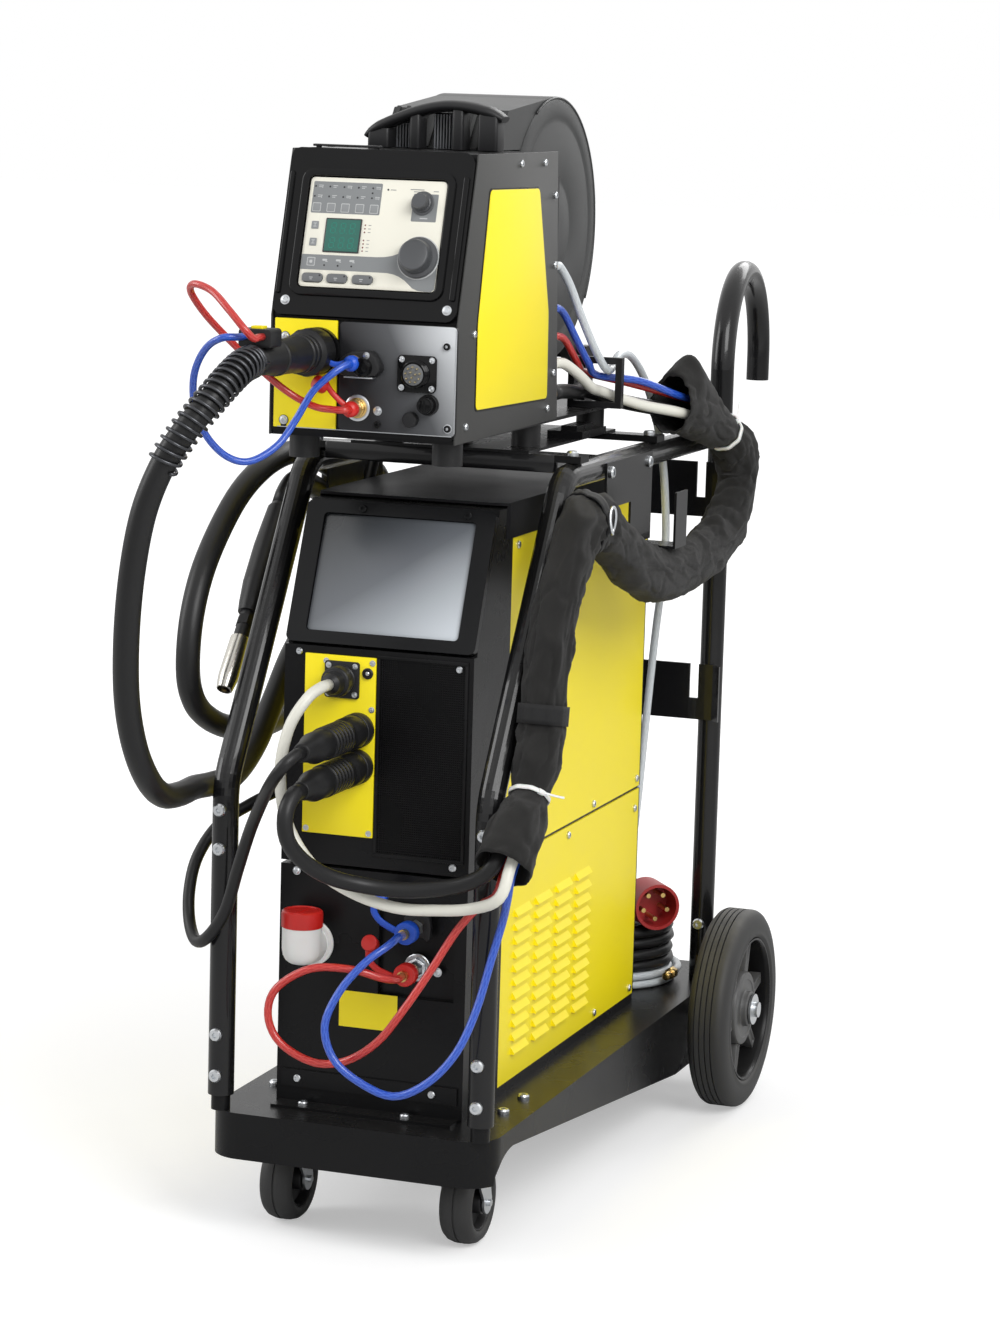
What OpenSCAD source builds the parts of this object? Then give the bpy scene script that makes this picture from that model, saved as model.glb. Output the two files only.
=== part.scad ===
// Water-cooled MIG power source with a separate wire feeder on a four-wheel tube cart.
// Millimetres. +Z is up, the front faces -Y and +X is the side with the hose sleeve.
// Heights run from the floor. Lengths run back from the tower's front face, and the whole
// assembly is moved at the end so that its base is centred on the origin.

/* [Chassis] */
// Height of the deck's top face above the floor
deck_z = 150; // [140:1:165]
// Width of the chassis over its side flanges
deck_w = 346; // [330:1:352]
// Reach of the deck in front of the tower
deck_reach = 71; // [66:1:90]
// Overall length of the deck
deck_len = 951; // [940:1:990]
// Height of the folded front apron
apron_h = 54; // [46:1:58]
// Radius of the deck's front corners
deck_corner_r = 40; // [20:1:60]
// Sheet thickness of the chassis
sheet_t = 4; // [3:0.5:5]

/* [Tubes] */
// Diameter of all cart tubes
tube_d = 30; // [26:1:32]
// Distance of the front posts in front of the tower
post_y = 59; // [50:1:62]
// Height of the seam between a post and its side rail
seam_z = 480; // [460:1:500]
// Height of the horizontal rails
rail_z = 874; // [870:1:880]
// Distance of the rear poles behind the tower's front
pole_y = 786; // [780:1:800]
// Height of the hook's centre line at its top
hook_z = 1075; // [1060:1:1100]
// Distance between the two legs of the hook
hook_w = 240; // [220:1:250]
// Height of the open end of the hook
hook_end_z = 925; // [900:1:940]
// Turn of the hook toward the centre plane
hook_turn = 5; // [0:1:8]

/* [Wheels] */
// Diameter of the rear wheels
wheel_d = 258; // [240:1:262]
// Width of the rear wheels
wheel_w = 53; // [45:1:56]
// Diameter of the wheel rims
rim_d = 156; // [140:1:170]
// Distance of the axle behind the tower's front
axle_y = 742; // [730:1:760]
// Diameter of the rear axle
axle_d = 20; // [16:1:24]
// Diameter of the caster wheels
caster_d = 100; // [90:1:100]
// Width of the caster wheels
caster_w = 40; // [32:1:40]
// Trail of the caster wheels behind their swivel axis
trail = 36; // [28:1:36]
// Distance of the caster swivels from the centre plane
caster_x = 111; // [100:1:111]

/* [Tower] */
// Width of the cooler and the power source
tower_w = 228; // [220:1:228]
// Depth of the cooler and the power source
tower_depth = 628; // [620:1:630]
// Depth of the black front modules
front_depth = 118; // [100:1:120]
// Height of the tray under the cooler
tray_h = 12; // [8:1:16]
// Height of the cooler above its tray
cooler_h = 272; // [268:1:276]
// Height of the power source's yellow sides
power_h = 373; // [370:1:376]
// Height of the black top cover
cover_h = 41; // [38:1:44]
// Rows of louvres in a cooler side
louvre_rows = 11; // [4:1:12]
// Columns of louvres in a cooler side
louvre_cols = 4; // [2:1:4]
// Spacing of the louvre rows
louvre_pitch = 16.5; // [14:0.5:18]

/* [Feeder] */
// Height of the feeder's bottom above the floor
feeder_z = 927; // [924:1:935]
// Width of the feeder's case
feeder_w = 220; // [214:1:220]
// Height of the feeder's case
feeder_h = 313; // [313:1:320]
// Diameter of the wire spool
spool_d = 294; // [280:1:296]
// Width of the wire spool
spool_w = 100; // [90:1:100]

/* [Cords] */
// Diameter of the torch lead
lead_d = 28; // [24:1:28]
// Curls of the torch's kink spring
spring_curls = 20; // [12:1:22]
// Wire thickness of the kink spring
spring_wire = 4; // [3:0.5:4.5]
// Diameter of the thin coolant hoses
thin_hose_d = 8; // [6:0.5:9]
// Diameter of the gas hose
gas_d = 10; // [8:0.5:10]
// Diameter of the mains cable
mains_d = 14; // [12:0.5:14]
// Outer diameter of the textile hose sleeve
sleeve_d = 50; // [46:1:50]

/* [Fits] */
// Radial clearance of wheels and knobs on their shafts
run_fit = 0.05; // [0.02:0.01:0.1]
// Gap between faces that move past each other
gap = 0.3; // [0.3:0.1:0.6]

/* [Hidden] */
$fn = 48;

// Colours
steel_grey = [0.30, 0.31, 0.33];
zinc = [0.74, 0.75, 0.76];
soot = [0.10, 0.10, 0.11];
yellow = [0.95, 0.72, 0.05];
rubber = [0.13, 0.13, 0.13];
brass = [0.78, 0.62, 0.30];
blue = [0.12, 0.30, 0.70];
red = [0.72, 0.10, 0.10];
cream = [0.90, 0.88, 0.80];
clear_grey = [0.75, 0.76, 0.74];

// Chassis
deck_rear = deck_len - deck_reach;
flange_front = deck_z - apron_h;
flange_arch_z = 129;
flange_rear_z = 58;
flange_rear_y = 640;
stub_h = 18;
stub_d = 22;

// Wheels
axle_z = wheel_d / 2;
wheel_gap = 17;
wheel_in = deck_w / 2 + wheel_gap;
wheel_out = wheel_in + wheel_w;
hub_d = 56;
spoke_count = 6;
spoke_w = 16;
rim_t = 8;
washer_t = 3;
washer_d = 40;
axle_cap = 6;
kingpin_d = 12;
race_d = 54;
race_h = 16;
head_plate = 84;
head_plate_t = 4;
fork_t = 4;
fork_leg_t = 3;
caster_bolt_d = 8;
fork_top_z = deck_z - sheet_t - head_plate_t - race_h - gap;
fork_in = caster_w / 2 + 2;

// Tubes
tube_r = tube_d / 2;
tube_x = deck_w / 2 - tube_r;
rail_bend_y = 156;
rail_start_z = seam_z + 50;
rail_bend_r = [80, 45];
rail_bend_steps = 6;
hook_r = hook_w / 2 - 1;
left_pole_z = rail_z + tube_r;
chain_t = 4;
chain_x = tube_x + 7;
chain_flange = 12;
chain_slot_x = tube_x - 18;
chain_slot_w = 12;
chain_z = [500, 766];
chain_h = [73, 71];
chain_slot_rise = [28, 25];
hanger_t = 3;
hanger_reach = 55;
hanger_z = rail_z - 98;
hanger_y = 397;
hanger_w = 44;
hanger_lip = 64;
hanger_start = 265;
hanger_len = 175;
hanger_above = 8;
hanger_window = [70, 34];
plate_w = 220;
plate_t = 3;
bar_h = 8;
bar_w = 30;
plate_z = rail_z + tube_r + bar_h;
front_bar_y = 190;
rear_bar_y = 480;
block_at = [75, 340];
block = [44, 90, 9];
catch = [20, 60, 5];

// Tower
half_w = tower_w / 2;
skin_t = 2;
tray_lip = 27;
tray_lip_t = 3;
join = 4;
cooler_z = deck_z + tray_h;
power_z = cooler_z + cooler_h;
side_top_z = power_z + power_h;
tower_top_z = side_top_z + cover_h;
side_depth = tower_depth - front_depth;
hood_z = power_z + 253;
hood_lean = 62;
hood_t = 10;
hood_rise = tower_top_z - 6 - hood_z;
hood_len = norm([hood_lean, hood_rise]);
hood_angle = atan2(hood_rise, hood_lean);
cover_t = 3;
grille_at = [-1, power_z + 15];
grille = [109, 229];
grille_t = 2;
pocket_at = [8, cooler_z + 126];
pocket = [92, 8, 112];
neck_at = [-74, -30];
neck_z = cooler_z + 156;
neck_h = 47;
neck_d = 46;
neck_bend = 25;

// Feeder
feeder_half = feeder_w / 2;
feeder_top = feeder_z + feeder_h;
feeder_front = 69;
slope_z = feeder_z + 132;
slope_back = 52;
slope_len = norm([slope_back, feeder_top - slope_z]);
slope_angle = atan2(feeder_top - slope_z, slope_back);
case_rear = 205;
side_rear = 271;
side_lean = 24;
strip_rear = 262;
bezel_t = 8;
panel_t = 2;
spool_y = 365;
spool_z = feeder_z + 219;
spool_x = -5;
spindle_d = 50;
cover_r = spool_d / 2 + 8;
cover_in = -75;
cover_out = 65;
cover_skin = 3;
nose_y = 165;
nose_top = [200, feeder_top + 45];
hinge_y = spool_y + 165;
hinge_z = feeder_z + 58;
hinge_d = 8;
foot_h = feeder_z - plate_z - plate_t;
foot_d = 34;
foot_seat = 0.05;
handle_y = 140;
handle_half = 70;
handle_h = 50;

// Panels
weld_x = -22;
weld_z = [power_z + 158, power_z + 116];
weld_socket_h = 16;
control_x = -42;
control_z = power_z + 214;
coupling_x = 56;
coupling_y = 50;
coupling_z = [cooler_z + 211, cooler_z + 163];
gland_reach = 23;
mains_x = -50;
plate_out = 3;
power_plate_at = [-45, power_z + 138];
power_plate = [86, 206];
feed_plate_z = feeder_z + 69;
feed_plate = [74, 120];
socket_plate = [138, 120];
panel_v = 93.5;
panel = [160, 123];
panel_seat = 2.6;
panel_face = 6;
knob_stem = 8;
knob_small = [54, 130];
knob_large = [57, 69];
key = [24, 10];
key_x = [-64, -35, -5];
key_v = 42;
torch_x = -51;
torch_z = feeder_z + 95;
feed_blue = [-3, feeder_z + 85];
feed_red = [-4, feeder_z + 35];
remote_at = [66, feeder_z + 76];
fit_x = 88;
fit_rise = [178, 128, 95, 63, 28, 73];

// Torch and cords
plug_front = -85;
plug_end = -250;
spring_spans = 5;
spring_fit = 1.4;
spring_r = lead_d / 2 + spring_fit + spring_wire / 2;
gun_len = 150;
neck_len = 34;
sleeve_wall = 2.5;
sleeve_steps = 2;
control_d = 13;
weld_d = 18;
return_d = 14;
hose_d = 9;

// Lean of the hanging torch toward the front, in line with the last step of its lead
gun_lean = atan(10 / 12);

// The base is centred between the feeder's couplings and the hook's outer leg
coupling_out = 23;
front_most = -feeder_front - plate_out - coupling_out;
rear_most = pole_y + hook_w * cos(hook_turn) + tube_r;
mid_y = (front_most + rear_most) / 2;

// Moves a piece from the tower's coordinates to the assembly's own frame
module placed() {
    translate([0, -mid_y, 0]) children();
}

// The children and their mirror image across the centre plane
module both_sides() {
    children();
    mirror([1, 0, 0]) children();
}

// Flat plate with round corners, standing on the XY plane
module round_plate(w, h, t, r) {
    linear_extrude(t) round_rect(w, h, r);
}

// Rectangle about the origin with round corners
module round_rect(w, h, r) {
    square([w - 2 * r, h], center = true);
    square([w, h - 2 * r], center = true);
    for (x = [-1, 1], y = [-1, 1])
        translate([x * (w / 2 - r), y * (h / 2 - r)]) circle(r);
}

// Turn between two steps of a flat route, left turns positive
function turn(a, b, c) =
    let (t = atan2(c.y - b.y, c.x - b.x) - atan2(b.y - a.y, b.x - a.x))
    t > 180 ? t - 360 : t < -180 ? t + 360 : t;

// Round bar bent in the XY plane through the given corners
module bent_bar(pts, r, d) {
    last = len(pts) - 1;
    cut = [for (i = [0:last]) i == 0 || i == last ? 0 :
        r[i - 1] * tan(abs(turn(pts[i - 1], pts[i], pts[i + 1])) / 2)];
    for (i = [0:last - 1]) {
        run = pts[i + 1] - pts[i];
        heading = atan2(run.y, run.x);
        translate([pts[i].x + cut[i] * cos(heading), pts[i].y + cut[i] * sin(heading), 0])
            rotate([0, 90, heading])
                cylinder(h = norm(run) - cut[i] - cut[i + 1], d = d);
    }
    for (i = [1:last - 1]) {
        run = pts[i] - pts[i - 1];
        heading = atan2(run.y, run.x);
        bend = turn(pts[i - 1], pts[i], pts[i + 1]);
        side = sign(bend);
        start = side > 0 ? heading - 90 : heading + 90 + bend;
        translate([pts[i].x - cut[i] * cos(heading) - side * r[i - 1] * sin(heading),
                pts[i].y - cut[i] * sin(heading) + side * r[i - 1] * cos(heading), 0])
            rotate([0, 0, start])
                rotate_extrude(angle = abs(bend)) translate([r[i - 1], 0]) circle(d = d);
    }
}

// Stands a shape drawn in X and Y up in the plane of length and height at x
module upright(x) {
    translate([x, 0, 0]) rotate([90, 0, 90]) children();
}

// Button-head screw, seated on the XY plane with its head up
module screw_head(d, h) {
    difference() {
        union() {
            cylinder(h = h * 0.6, d = d);
            translate([0, 0, h * 0.6]) cylinder(h = h * 0.4, d1 = d, d2 = d * 0.8);
        }
        translate([0, 0, h * 0.4]) cylinder(h = h, d = d * 0.45, $fn = 6);
    }
}

// Screw heads on a face that looks forward, at [x, z] places
module front_screws(y, places, d, h) {
    for (p = places) translate([p.x, y, p.y]) rotate([90, 0, 0]) screw_head(d, h);
}

// Screw heads on the right face at x, at [y, z] places
module side_screws(x, places, d, h) {
    for (p = places) translate([x, p.x, p.y]) rotate([0, 90, 0]) screw_head(d, h);
}

// ---------------------------------------------------------------- cart

// Outline of the deck with round front corners
module deck_outline(inset) {
    r = deck_corner_r - inset;
    half = deck_w / 2 - inset;
    front = -deck_reach + inset;
    translate([-half, front + r]) square([2 * half, deck_rear - inset - front - r]);
    translate([-half + r, front]) square([2 * half - 2 * r, r + 1]);
    for (s = [-1, 1]) translate([s * (half - r), front + r]) circle(r);
}

// Side view of the flanges: a wheel arch at the front, then a taper to the axle plates
module flange_profile() {
    arch_front = -45;
    arch_rear = 11;
    arch_w = arch_rear - arch_front;
    arch_h = flange_arch_z - flange_front;
    arch = [for (a = [0:10:90]) [arch_front + arch_w * (1 - cos(a)), flange_front + arch_h * sin(a)]];
    polygon(concat([[-deck_reach - 1, flange_front]], arch,
        [[flange_rear_y, flange_rear_z], [deck_rear, flange_rear_z], [deck_rear, deck_z],
        [-deck_reach - 1, deck_z]]));
}

module chassis() {
    color(steel_grey) placed() {
        difference() {
            union() {
                translate([0, 0, deck_z - sheet_t]) linear_extrude(sheet_t) deck_outline(0);
                intersection() {
                    linear_extrude(deck_z) difference() {
                        deck_outline(0);
                        deck_outline(sheet_t);
                    }
                    upright(-deck_w / 2 - 1) linear_extrude(deck_w + 2) flange_profile();
                }
            }
            translate([-deck_w, axle_y, axle_z]) rotate([0, 90, 0])
                cylinder(h = 2 * deck_w, d = axle_d + 2 * run_fit);
        }
        for (s = [-1, 1]) translate([s * tube_x, -post_y, deck_z]) {
            cylinder(h = stub_h, d = stub_d);
        }
    }
}

module lower_posts() {
    color(steel_grey) placed() for (s = [-1, 1])
        translate([s * tube_x, -post_y, deck_z + stub_h])
            cylinder(h = seam_z - deck_z - stub_h, d = tube_d);
}

// Flat route with an arc of the given radius at each inner corner
function rounded(pts, r, steps) = concat([pts[0]], [for (i = [1:len(pts) - 2])
    let (ahead = unit(pts[i] - pts[i - 1]), bend = turn(pts[i - 1], pts[i], pts[i + 1]),
        inward = sign(bend) * [-ahead.y, ahead.x], start = pts[i] - r[i - 1] * tan(abs(bend) / 2) * ahead)
    for (k = [0:steps]) let (a = abs(bend) * k / steps)
        start + r[i - 1] * ((1 - cos(a)) * inward + sin(a) * ahead)], [pts[len(pts) - 1]]);

module side_rails() {
    corners = [[-post_y, seam_z], [-post_y, rail_start_z], [rail_bend_y, rail_z], [pole_y - tube_r, rail_z]];
    color(steel_grey) placed() both_sides()
        tube([for (p = rounded(corners, rail_bend_r, rail_bend_steps)) [tube_x, p.x, p.y]], tube_d, 24);
}

module feeder_platform() {
    bar_z = rail_z + tube_r;
    color(soot) placed() {
        for (y = [front_bar_y, rear_bar_y]) translate([-tube_x - tube_r, y - bar_w / 2, bar_z])
            cube([2 * (tube_x + tube_r), bar_w, bar_h]);
        translate([-tube_x + tube_r + 2, front_bar_y - bar_w / 2, bar_z - 4])
            cube([2 * (tube_x - tube_r - 2), 3, 4]);
        translate([-plate_w / 2, front_bar_y - bar_w / 2, plate_z])
            cube([plate_w, rear_bar_y - front_bar_y + bar_w, plate_t]);
        translate([block_at.x, block_at.y, plate_z + plate_t]) {
            cube(block);
            translate([(block.x - catch.x) / 2, (block.y - catch.y) / 2, block.z]) cube(catch);
        }
    }
}

// One cross plate between the rear poles, folded at its ends and slotted for the chains
module chain_plate(z, h, slot_z) {
    front = pole_y - tube_r - chain_t + 1;
    difference() {
        translate([0, 0, z]) linear_extrude(h) {
            translate([-chain_x, front]) square([2 * chain_x, chain_t]);
            for (s = [0, 1]) mirror([s, 0]) polygon([[chain_x, front],
                [chain_x + chain_flange, front - chain_flange],
                [chain_x + chain_flange, front - chain_flange + chain_t * sqrt(2)],
                [chain_x + 1, front + chain_t], [chain_x - 1, front + chain_t], [chain_x - 1, front]]);
        }
        for (s = [-1, 1]) translate([s * chain_slot_x - chain_slot_w / 2, front - 1, slot_z])
            cube([chain_slot_w, chain_t + 2, z + h]);
    }
}

module rear_poles() {
    hook = [[0, deck_z], [0, hook_z], [hook_w, hook_z], [hook_w, hook_end_z]];
    color(steel_grey) placed() {
        union() {
            translate([tube_x, pole_y, 0]) rotate([0, 0, hook_turn])
                upright(0) bent_bar(hook, [hook_r, hook_r], tube_d);
            translate([-tube_x, pole_y, deck_z]) cylinder(h = left_pole_z - deck_z, d = tube_d);
            for (i = [0, 1]) chain_plate(chain_z[i], chain_h[i], chain_z[i] + chain_slot_rise[i]);
        }
    }
}

module hose_hangers() {
    x0 = tube_x + tube_r;
    color(steel_grey) placed() both_sides() difference() {
        union() {
            translate([x0, hanger_start, hanger_z])
                cube([hanger_t, hanger_len, rail_z + hanger_above - hanger_z]);
            translate([x0, hanger_y + hanger_w / 2, 0]) rotate([90, 0, 0]) linear_extrude(hanger_w) {
                translate([0, hanger_z - hanger_t]) square([hanger_reach, hanger_t]);
                translate([hanger_reach - hanger_t, hanger_z - hanger_t])
                    square([hanger_t, hanger_lip + hanger_t]);
            }
        }
        translate([x0 - 1, hanger_start + 25, hanger_z + 18])
            cube([hanger_t + 2, hanger_window.x, hanger_window.y]);
    }
}

module cart_bolts() {
    post_bolts = [deck_z + 42, deck_z + 90, seam_z - 25, seam_z + 20];
    hanger_bolts = [hanger_start + 15, hanger_start + hanger_len - 15];
    color(zinc) placed() {
        both_sides() {
            front_screws(-post_y - tube_r, [for (z = post_bolts) [tube_x, z]], 15, 6);
            for (y = [62, 131]) translate([tube_x - 16, y, deck_z]) screw_head(14, 5);
            side_screws(tube_x + tube_r + hanger_t, [for (y = hanger_bolts) [y, rail_z - 4]], 14, 4);
            for (y = [front_bar_y, rear_bar_y]) translate([tube_x, y, plate_z]) screw_head(14, 5);
            front_screws(pole_y - tube_r, [[tube_x, deck_z + 78]], 15, 6);
        }
        for (x = [-75, 50]) translate([x, -tray_lip / 2, deck_z + tray_lip_t]) screw_head(12, 4);
    }
}

module axle() {
    color(zinc) placed() translate([0, axle_y, axle_z]) rotate([0, 90, 0]) {
        half = wheel_out + gap + washer_t + axle_cap;
        translate([0, 0, -half]) cylinder(h = 2 * half, d = axle_d);
        for (s = [0, 1]) mirror([0, 0, s]) {
            translate([0, 0, deck_w / 2]) cylinder(h = wheel_gap - gap, d = 30);
            translate([0, 0, wheel_out + gap]) cylinder(h = washer_t, d = washer_d);
        }
    }
}

// Wheel with its axis along X, from x = 0 outward: spoked rim and grooved tyre
module spoked_wheel() {
    r = wheel_d / 2;
    rim_r = rim_d / 2;
    groove = 3;
    shoulder = 9;
    grooves = [14, 22, 30, 38];
    rotate([0, 90, 0]) {
        color(soot) difference() {
            union() {
                translate([0, 0, 4]) linear_extrude(wheel_w - 8) difference() {
                    circle(rim_r);
                    circle(rim_r - rim_t);
                }
                cylinder(h = wheel_w, d = hub_d);
                translate([0, 0, wheel_w / 2 - 3]) cylinder(h = 6, r = rim_r - 1);
                for (i = [0:spoke_count - 1]) rotate([0, 0, i * 360 / spoke_count])
                    translate([hub_d / 2 - 4, -spoke_w / 2, 8])
                        cube([rim_r - hub_d / 2, spoke_w, wheel_w - 16]);
            }
            for (i = [0:spoke_count - 1]) rotate([0, 0, (i + 0.5) * 360 / spoke_count])
                translate([(rim_r + hub_d / 2) / 2 - 2, 0, -1]) cylinder(h = wheel_w + 2, d = 26);
            translate([0, 0, -1]) cylinder(h = wheel_w + 2, d = axle_d + 2 * run_fit);
        }
        color(rubber) difference() {
            rotate_extrude($fn = 96) polygon([[rim_r, 4], [rim_r + 12, 0], [r - shoulder, 0], [r - 2, 6],
                [r, 12], [r, wheel_w - 12], [r - 2, wheel_w - 6], [r - shoulder, wheel_w],
                [rim_r + 12, wheel_w], [rim_r, wheel_w - 4]]);
            for (z = grooves) translate([0, 0, z - 1.5]) difference() {
                cylinder(h = groove, r = r + 1, $fn = 96);
                translate([0, 0, -1]) cylinder(h = groove + 2, r = r - groove, $fn = 96);
            }
        }
    }
}

module rear_wheel_right() {
    placed() translate([wheel_in, axle_y, axle_z]) spoked_wheel();
}

module rear_wheel_left() {
    placed() mirror([1, 0, 0]) translate([wheel_in, axle_y, axle_z]) spoked_wheel();
}

module caster_heads() {
    top = deck_z - sheet_t;
    color(zinc) placed() for (s = [-1, 1]) translate([s * caster_x, 0, 0]) {
        translate([-head_plate / 2, -head_plate / 2, top - head_plate_t])
            cube([head_plate, head_plate, head_plate_t]);
        translate([0, 0, fork_top_z + gap]) cylinder(h = race_h, d = race_d);
        translate([0, 0, fork_top_z - fork_t - gap - 1]) cylinder(h = race_h, d = kingpin_d);
        translate([0, 0, fork_top_z - fork_t - gap - 6]) cylinder(h = 6, d = kingpin_d + 8, $fn = 6);
    }
}

// Fork about its swivel axis: top plate, two trailing legs and the wheel's bolt
module fork() {
    leg = [[-26, fork_top_z], [29, fork_top_z], [trail + 12, caster_d / 2 + 4], [trail - 12, caster_d / 2 + 4]];
    color(zinc) {
        difference() {
            union() {
                translate([-fork_in - fork_leg_t, -26, fork_top_z - fork_t])
                    cube([2 * (fork_in + fork_leg_t), 55, fork_t]);
                for (x = [-fork_in - fork_leg_t, fork_in]) upright(x) linear_extrude(fork_leg_t) {
                    polygon(leg);
                    translate([trail, caster_d / 2]) circle(13);
                }
            }
            translate([0, 0, fork_top_z - fork_t - 1])
                cylinder(h = fork_t + 2, d = kingpin_d + 2 * run_fit);
        }
        translate([-fork_in - fork_leg_t - 4, trail, caster_d / 2]) rotate([0, 90, 0])
            cylinder(h = 2 * (fork_in + fork_leg_t + 4), d = caster_bolt_d);
    }
}

module caster_fork_right() {
    placed() translate([caster_x, 0, 0]) fork();
}

module caster_fork_left() {
    placed() translate([-caster_x, 0, 0]) fork();
}

module caster_wheel() {
    r = caster_d / 2;
    translate([-caster_w / 2, trail, r]) rotate([0, 90, 0]) {
        color(rubber) rotate_extrude($fn = 72) polygon([[r - 16, 0], [r - 3, 0], [r, 5],
            [r, caster_w - 5], [r - 3, caster_w], [r - 16, caster_w]]);
        color(soot) rotate_extrude($fn = 72) polygon([[caster_bolt_d / 2 + run_fit, -1],
            [14, -1], [14, 6], [r - 16, 6], [r - 16, caster_w - 6], [14, caster_w - 6],
            [14, caster_w + 1], [caster_bolt_d / 2 + run_fit, caster_w + 1]]);
    }
}

module caster_wheel_right() {
    placed() translate([caster_x, 0, 0]) caster_wheel();
}

module caster_wheel_left() {
    placed() translate([-caster_x, 0, 0]) caster_wheel();
}

// ---------------------------------------------------------------- tower

module cooler_base() {
    color(soot) placed() {
        translate([-half_w, 0, deck_z]) cube([tower_w, tower_depth, tray_h]);
        translate([-half_w + 4, -tray_lip, deck_z]) cube([tower_w - 8, tray_lip, tray_lip_t]);
    }
}

module cooler_front() {
    color(soot) placed() difference() {
        union() {
            translate([-half_w, 0, cooler_z]) cube([tower_w, front_depth, cooler_h - join]);
            translate([-half_w + 6, -3, cooler_z + 8]) cube([tower_w - 12, 3, 20]);
        }
        translate([pocket_at.x, -1, pocket_at.y]) cube([pocket.x, pocket.y + 1, pocket.z]);
    }
}

// One louvre: a pressed hood over its slot, pointing out of the panel
module louvre(len) {
    rise = 5;
    hood_w = 9;
    rotate([90, 0, 0]) translate([0, 0, -len]) linear_extrude(len)
        polygon([[-0.5, hood_w], [0, hood_w], [rise, 1.6], [rise, 0], [rise - 1.5, 0],
            [rise - 1.5, 1], [0, hood_w - 2.4], [-0.5, hood_w - 2.4]]);
    for (y = [0, len - 1.5]) translate([0, y, 0]) rotate([90, 0, 0]) translate([0, 0, -1.5])
        linear_extrude(1.5)
            polygon([[-0.5, 0], [rise - 1, 0], [rise - 1, 1], [0, hood_w - 1], [-0.5, hood_w - 1]]);
}

// Yellow side of the cooler with its field of louvres, on the right
module cooler_side() {
    louvre_len = 52;
    louvre_step = 74;
    first_y = 160;
    first_z = cooler_z + 30;
    upright(half_w - skin_t) linear_extrude(skin_t) difference() {
        translate([front_depth, cooler_z]) square([side_depth, cooler_h - join]);
        for (c = [0:louvre_cols - 1], r = [0:louvre_rows - 1])
            translate([first_y + c * louvre_step, first_z + r * louvre_pitch])
                square([louvre_len, 5]);
    }
    for (c = [0:louvre_cols - 1], r = [0:louvre_rows - 1])
        translate([half_w, first_y + c * louvre_step, first_z + r * louvre_pitch]) louvre(louvre_len);
}

module power_side() {
    upright(half_w - skin_t) linear_extrude(skin_t) difference() {
        translate([front_depth, power_z]) square([side_depth, power_h]);
        translate([front_depth - 1, power_z - 1]) square([8, 12]);
    }
}

module side_panels() {
    color(yellow) placed() both_sides() {
        cooler_side();
        power_side();
    }
}

// Frame of the sloping display hood: X across, Y up the slope, Z out of it
module on_hood() {
    translate([0, 0, hood_z]) rotate([hood_angle, 0, 0]) children();
}

module power_front() {
    frame = 4;
    grille_depth = 13;
    window = [180, 135, 3];
    color(soot) placed() {
        difference() {
            upright(-half_w) linear_extrude(tower_w) polygon([[0, power_z], [0, hood_z - 3.6],
                [hood_t, hood_z - 3.6], [hood_t, hood_z], [hood_t + hood_lean, hood_z + hood_rise],
                [front_depth, hood_z + hood_rise], [front_depth, power_z]]);
            translate([grille_at.x + frame, -1, grille_at.y + frame])
                cube([grille.x - 2 * frame, grille_depth + 1, grille.y - 2 * frame]);
        }
        on_hood() translate([-window.x / 2, (hood_len - window.y) / 2, -7]) cube(window);
    }
}

// Raised hood round the recessed display glass
module display_hood() {
    hood_window = [184, 138];
    color([0.22, 0.22, 0.23]) placed() {
        on_hood() difference() {
            translate([0, hood_len / 2, -hood_t + 1]) round_plate(tower_w, hood_len, hood_t, 8);
            translate([0, hood_len / 2, -hood_t]) round_plate(hood_window.x, hood_window.y, hood_t + 3, 5);
        }
        for (x = [-46, 81]) on_hood() translate([x, hood_len - 8, 1]) screw_head(9, 3);
    }
}

module mesh_grille() {
    cols = 15;
    rows = 19;
    hole = 4.6;
    edge = 4;
    step_x = (grille.x - 2 * edge) / cols;
    step_z = (grille.y - 2 * edge) / rows;
    color([0.16, 0.16, 0.17]) placed() translate([grille_at.x, 0, grille_at.y]) rotate([90, 0, 0])
        linear_extrude(grille_t) difference() {
            square(grille);
            for (c = [0:cols - 1], r = [0:rows - 1])
                translate([edge + step_x * (c + 0.5), edge + step_z * (r + 0.5)]) square(hole, center = true);
        }
}

module connector_plates() {
    color(yellow) placed() {
        translate([power_plate_at.x, 0, power_plate_at.y]) rotate([90, 0, 0])
            round_plate(power_plate.x, power_plate.y, plate_out, 6);
        translate([(feed_plate.x - feeder_w) / 2 + 6.5, -feeder_front, feed_plate_z]) rotate([90, 0, 0])
            round_plate(feed_plate.x, feed_plate.y, plate_out, 6);
    }
}

module power_top() {
    edge = 2;
    front = 92;
    color(soot) placed() difference() {
        translate([0, (front + tower_depth) / 2 + edge, side_top_z])
            round_plate(tower_w + 2 * edge, tower_depth - front + 2 * edge, cover_h, 10);
        translate([-half_w, front - edge - 1, side_top_z - 1])
            cube([tower_w, tower_depth - front + edge + 1, cover_h - cover_t + 1]);
    }
}

module rear_panels() {
    t = 3;
    slots = 10;
    slot = [140, 6];
    slot_pitch = 18;
    first_slot = power_z + 130;
    color(soot) placed() {
        translate([-half_w, tower_depth, cooler_z]) cube([tower_w, t, cooler_h - join]);
        difference() {
            translate([-half_w, tower_depth, power_z]) cube([tower_w, t, power_h]);
            for (i = [0:slots - 1]) translate([-slot.x / 2, tower_depth - 1, first_slot + i * slot_pitch])
                cube([slot.x, t + 2, slot.y]);
        }
        translate([mains_x, tower_depth, mains_in[0].z]) rotate([-90, 0, 0]) {
            cylinder(h = t + 8, d = 34, $fn = 6);
            cylinder(h = gland_reach, d = 26);
        }
    }
}

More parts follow.
